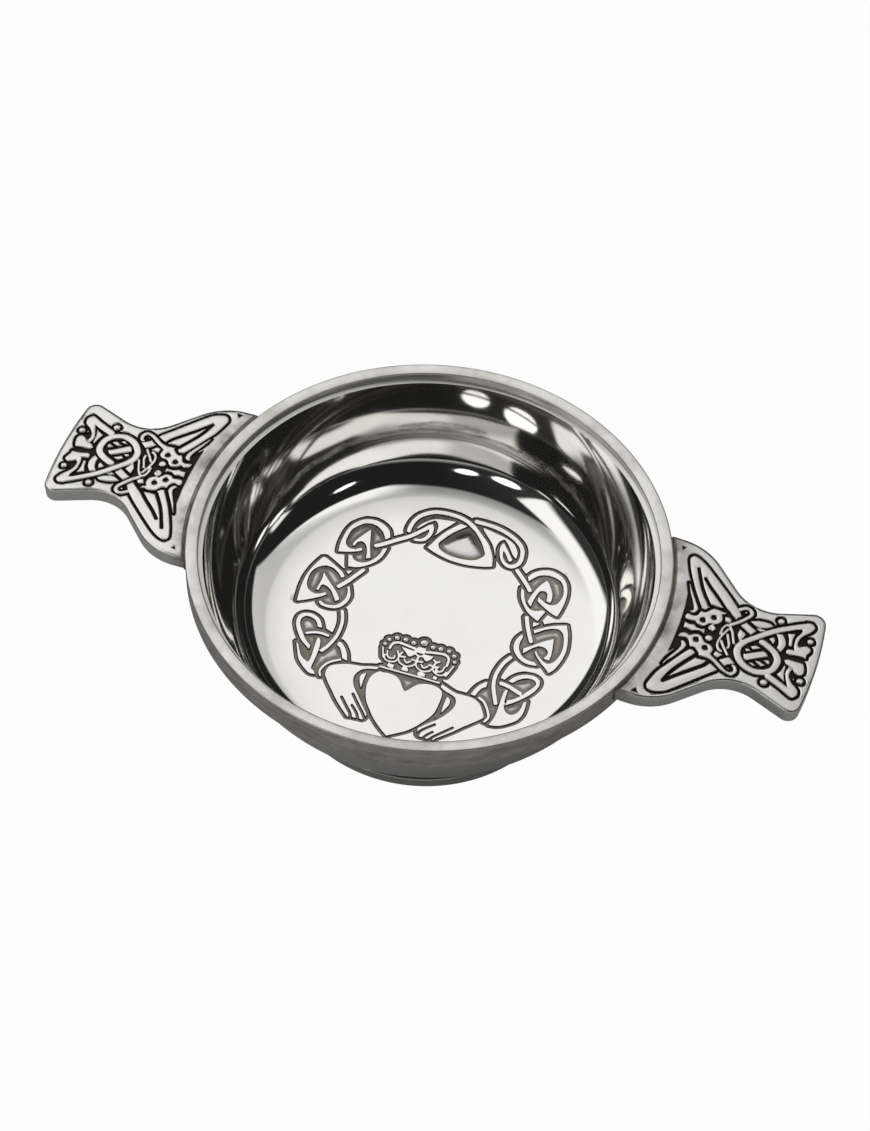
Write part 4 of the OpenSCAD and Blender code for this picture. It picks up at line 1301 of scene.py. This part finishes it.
lug_grid = ReliefField(low=(44, -22), high=(85, 22), step=relief_step)
lug_sunk = sunk_field(lug_grid, lug_border, lug_outlines, lug_strands, lug_grounds, lug_cuts,
                      lug_discs + lug_studs)
lug_profile = [(-0.3, 0.0), (-0.12, -0.03), (0.0, -0.1), (0.14, -0.46), (0.5, -0.5), (0.9, -0.45),
               (1.4, -0.4)]
edge_steps = 5
edge_turns = [math.pi / 2 * i / edge_steps for i in range(edge_steps + 1)]
top_edge = [(lug_round * (1 - math.sin(t)), -lug_round * (1 - math.cos(t))) for t in edge_turns]
low_edge = [(lug_round * (1 - math.cos(t)), -lug_t + lug_round * (1 - math.sin(t))) for t in edge_turns]
lug_rings = [lug_ring(inset, sink) for inset, sink in top_edge + low_edge]
top_outline = [point[:2] for point in lug_rings[0]]
top_points, top_faces, top_depth = struck_sheet(lug_grid, lug_sunk, lug_profile, top_outline)
side_points = [point for ring in lug_rings for point in ring]
ring_count = len(lug_rings[0])
side_faces = []
for level in range(len(lug_rings) - 1):
    for i in range(ring_count):
        after = (i + 1) % ring_count
        here, below = level * ring_count, (level + 1) * ring_count
        side_faces.append((here + i, below + i, below + after, here + after))
last_ring = (len(lug_rings) - 1) * ring_count
side_faces.append(tuple(last_ring + i for i in range(ring_count)))
lug_tone = (0.9, 0.89, 0.865)
# Painted shade: the bank tone, darker than the bed, stands in for shade on the steep sides of the sunk
# lines.
lug_oxide_and_shade = {"bank": (0.035, 0.028, 0.022), "bed": (0.06, 0.048, 0.036), "reach": 0.2, "rubbed": 0.5}
seam_dirt = (rim_r + 0.4, rim_r + 6.5, (0.13, 0.1, 0.075))
lug_pewter = metal_material("lug_pewter", lug_tone, rough=0.18, smear=0.12, stained=0.12, bump=0.2,
                            oxide_and_shade=lug_oxide_and_shade, dirt=seam_dirt)
stud_pewter = metal_material("stud_pewter", lug_tone, rough=0.2, smear=0.1, stained=0.1, bump=0.1)


def lug(name, facing):
    """A lug at one side of the bowl; facing is 1 on the right and -1 on the left."""
    def turned(point):
        x, y, z = lug_place(*point)
        return facing * x, facing * y, z

    piece = new_piece(name + "_dressed", [turned(p) for p in side_points], faces=side_faces)
    piece.data.materials.append(lug_pewter)
    join_sheet(piece, [turned(p) for p in top_points], top_faces, top_depth)
    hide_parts(name)
    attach(piece, "root")
    spots = [(*turned((u, v, -bead_sink)), r) for u, v, r in lug_studs]
    studs = beaded(name + "_studs", spots, stud_pewter)
    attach(studs, "root")


lug("right_lug", 1)
lug("left_lug", -1)

# Soldered seams: lead-free solder run into the corners under the rim, over the foot and along both lugs.
# It is left unpolished, so it has gone dull, and dirt has gathered along it.
solder_tone = (0.2, 0.165, 0.13)
solder_metal = metal_material("solder_metal", solder_tone, rough=0.4, smear=0.2, stained=0.8, bump=0.6)
for seam in ("rim_solder", "foot_solder", "right_lug_solder", "left_lug_solder"):
    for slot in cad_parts[seam].material_slots:
        slot.material = solder_metal

# Studio: a plain white floor, with one broad white sheet hung over the bowl and down its left side.
# Three small lamps stand in front, and the rest of the room is dark, as the metal shows.
table_half = 4000
table_grey = (0.5, 0.5, 0.5)
table_to_camera = 0.975
table_in_metal = 0.04
table_corners = [(x * table_half, y * table_half, 0) for x, y in ((-1, -1), (1, -1), (1, 1), (-1, 1))]
table = new_piece("studio_floor", table_corners, faces=[(0, 1, 2, 3)])
table_white = bpy.data.materials.new("studio_white")
table_white.use_nodes = True
table_tree = table_white.node_tree
table_tree.nodes.clear()
table_out = table_tree.nodes.new("ShaderNodeOutputMaterial")
table_matt = table_tree.nodes.new("ShaderNodeBsdfDiffuse")
put(table_tree, table_matt.inputs["Color"], table_grey)
table_bright = table_tree.nodes.new("ShaderNodeEmission")
table_bright.inputs["Strength"].default_value = 1.0
table_seen = table_tree.nodes.new("ShaderNodeLightPath")
straight = math_node(table_tree, "MULTIPLY", table_seen.outputs["Is Camera Ray"], table_to_camera)
in_metal = math_node(table_tree, "MULTIPLY", table_seen.outputs["Is Glossy Ray"], table_in_metal)
table_mix = table_tree.nodes.new("ShaderNodeMixShader")
table_tree.links.new(math_node(table_tree, "ADD", straight, in_metal), table_mix.inputs["Fac"])
table_tree.links.new(table_matt.outputs["BSDF"], table_mix.inputs[1])
table_tree.links.new(table_bright.outputs["Emission"], table_mix.inputs[2])
table_tree.links.new(table_mix.outputs["Shader"], table_out.inputs["Surface"])
table.data.materials.append(table_white)
studio_turn = math.radians(16.5)
back_way = Vector((-math.sin(studio_turn), math.cos(studio_turn), 0.0))
side_way = Vector((math.cos(studio_turn), math.sin(studio_turn), 0.0))
studio = bpy.data.worlds.new("studio")
bpy.context.scene.world = studio
studio.use_nodes = True
sky = studio.node_tree
sky.nodes.clear()
sky_out = sky.nodes.new("ShaderNodeOutputWorld")
direction = sky.nodes.new("ShaderNodeTexCoord").outputs["Generated"]


def share_along(way):
    made = sky.nodes.new("ShaderNodeVectorMath")
    made.operation = "DOT_PRODUCT"
    made.inputs[1].default_value = way
    sky.links.new(direction, made.inputs[0])
    return made.outputs["Value"]


def edge(value, dark, light):
    """A soft edge: 0 where the value reaches dark, 1 where it reaches light."""
    made = sky.nodes.new("ShaderNodeMapRange")
    made.interpolation_type = "SMOOTHSTEP"
    made.inputs["From Min"].default_value = dark
    made.inputs["From Max"].default_value = light
    sky.links.new(value, made.inputs["Value"])
    return made.outputs["Result"]


def ramp(value, *stops):
    """A grey level that follows a value through stops of position and level."""
    made = sky.nodes.new("ShaderNodeValToRGB")
    elements = made.color_ramp.elements
    while len(elements) < len(stops):
        elements.new(1.0)
    for element, (position, level) in zip(elements, stops):
        element.position = position
        element.color = (level, level, level, 1.0)
    sky.links.new(value, made.inputs["Fac"])
    return made.outputs["Color"]


def product(first, *others):
    for other in others:
        first = math_node(sky, "MULTIPLY", first, other)
    return first


def slanted(over_share, aside_share):
    """A sum of the two angles, for edges that run aslant."""
    return math_node(sky, "ADD", product(over, over_share), product(aside, aside_share))


over = math_node(sky, "DEGREES", math_node(sky, "ARCTAN2", share_along((0, 0, 1)), share_along(back_way)))
aside = math_node(sky, "DEGREES", math_node(sky, "ARCSINE", share_along(side_way)))
back_edge = product(edge(over, 35, 38), edge(slanted(1.0, -0.56), 21.5, 24.5))
right_edge = edge(slanted(0.635, 0.772), 77, 73.5)
overhead = edge(slanted(1.0, -0.44), 101, 93)
left_fall = product(edge(aside, -29, -31), edge(slanted(1.0, 1.25), 77.5, 73))
sheet = math_node(sky, "MAXIMUM", overhead, left_fall)
sheet = product(sheet, back_edge, right_edge, edge(aside, -59, -50))
falling = math_node(sky, "DIVIDE", math_node(sky, "SUBTRACT", over, 40), 60, clamp=True)
left_level = ramp(falling, (0.1, 0.97), (0.27, 0.97), (0.4, 0.75), (0.53, 0.5), (0.67, 0.37), (0.8, 0.28))
hung_level = (1.05, 1.05, 1.05)
left_level = mixed(sky, edge(aside, -34, -22), hung_level, left_level)
right_level = ramp(falling, (0.1, 0.6), (0.45, 0.52), (0.58, 0.7), (0.7, 1.05))
sheet_level = mixed(sky, edge(aside, 1, 14), left_level, right_level)
room_level = ramp(edge(aside, -90, 90), (0.1, 0.035), (0.5, 0.013), (0.9, 0.014))
strip = product(edge(aside, 64, 68), edge(aside, 76, 71), edge(over, 78, 88), edge(over, 120, 112))
front = product(edge(over, 157, 168), 0.4)
light = math_node(sky, "ADD", product(sheet, sheet_level), math_node(sky, "ADD", strip, front))
light = math_node(sky, "ADD", light, room_level)
sky_light = sky.nodes.new("ShaderNodeBackground")
sky.links.new(light, sky_light.inputs["Color"])
sky.links.new(sky_light.outputs["Background"], sky_out.inputs["Surface"])
lamp_away = 1.2
lamp_brightness = 1.15


def small_lamp(name, over_turn, aside_turn, wide, high, tilt=0):
    """A small soft lamp, placed by its two angles, with its size as seen from the bowl, all in degrees."""
    across = math.cos(math.radians(aside_turn))
    way = across * math.cos(math.radians(over_turn)) * back_way
    way += across * math.sin(math.radians(over_turn)) * Vector((0, 0, 1))
    way += math.sin(math.radians(aside_turn)) * side_way
    data = bpy.data.lights.new(name, "AREA")
    data.shape = "ELLIPSE"
    data.size = 2 * lamp_away * math.tan(math.radians(wide / 2))
    data.size_y = 2 * lamp_away * math.tan(math.radians(high / 2))
    data.energy = lamp_brightness * math.pi * data.size * data.size_y
    lamp = bpy.data.objects.new(name, data)
    bpy.context.collection.objects.link(lamp)
    lamp.location = lamp_away * way
    facing = (-way).to_track_quat("-Z", "Y")
    lamp.rotation_euler = (facing @ Quaternion((0, 0, 1), math.radians(tilt))).to_euler()
    lamp.visible_camera = False


small_lamp("left_lamp", 141, -32.5, 14, 15)
small_lamp("middle_lamp", 141, -13.8, 10.5, 13)
small_lamp("right_lamp", 118, 34, 12, 6, tilt=25)

# Camera: a long lens looking down on the bowl from its front right, turned a little about its own axis.
lens_mm = 80.88
sensor_mm = 36.0
camera_place = Vector((93.588, -311.494, 461.507)) * mm
camera_roll = math.radians(3.34)
ahead = Vector((-0.17262, 0.58276, -0.79409)).normalized()
level_right = ahead.cross(Vector((0, 0, 1))).normalized()
level_up = level_right.cross(ahead)
right = math.cos(camera_roll) * level_right + math.sin(camera_roll) * level_up
up = right.cross(ahead)
camera_data = bpy.data.cameras.new("studio_camera")
camera_data.lens = lens_mm
camera_data.sensor_width = sensor_mm
camera = bpy.data.objects.new("studio_camera", camera_data)
bpy.context.collection.objects.link(camera)
turn = Matrix((right, up, -ahead)).transposed().to_4x4()
camera.matrix_world = Matrix.Translation(camera_place) @ turn
bpy.context.scene.camera = camera
bpy.context.scene.view_settings.view_transform = "Standard"
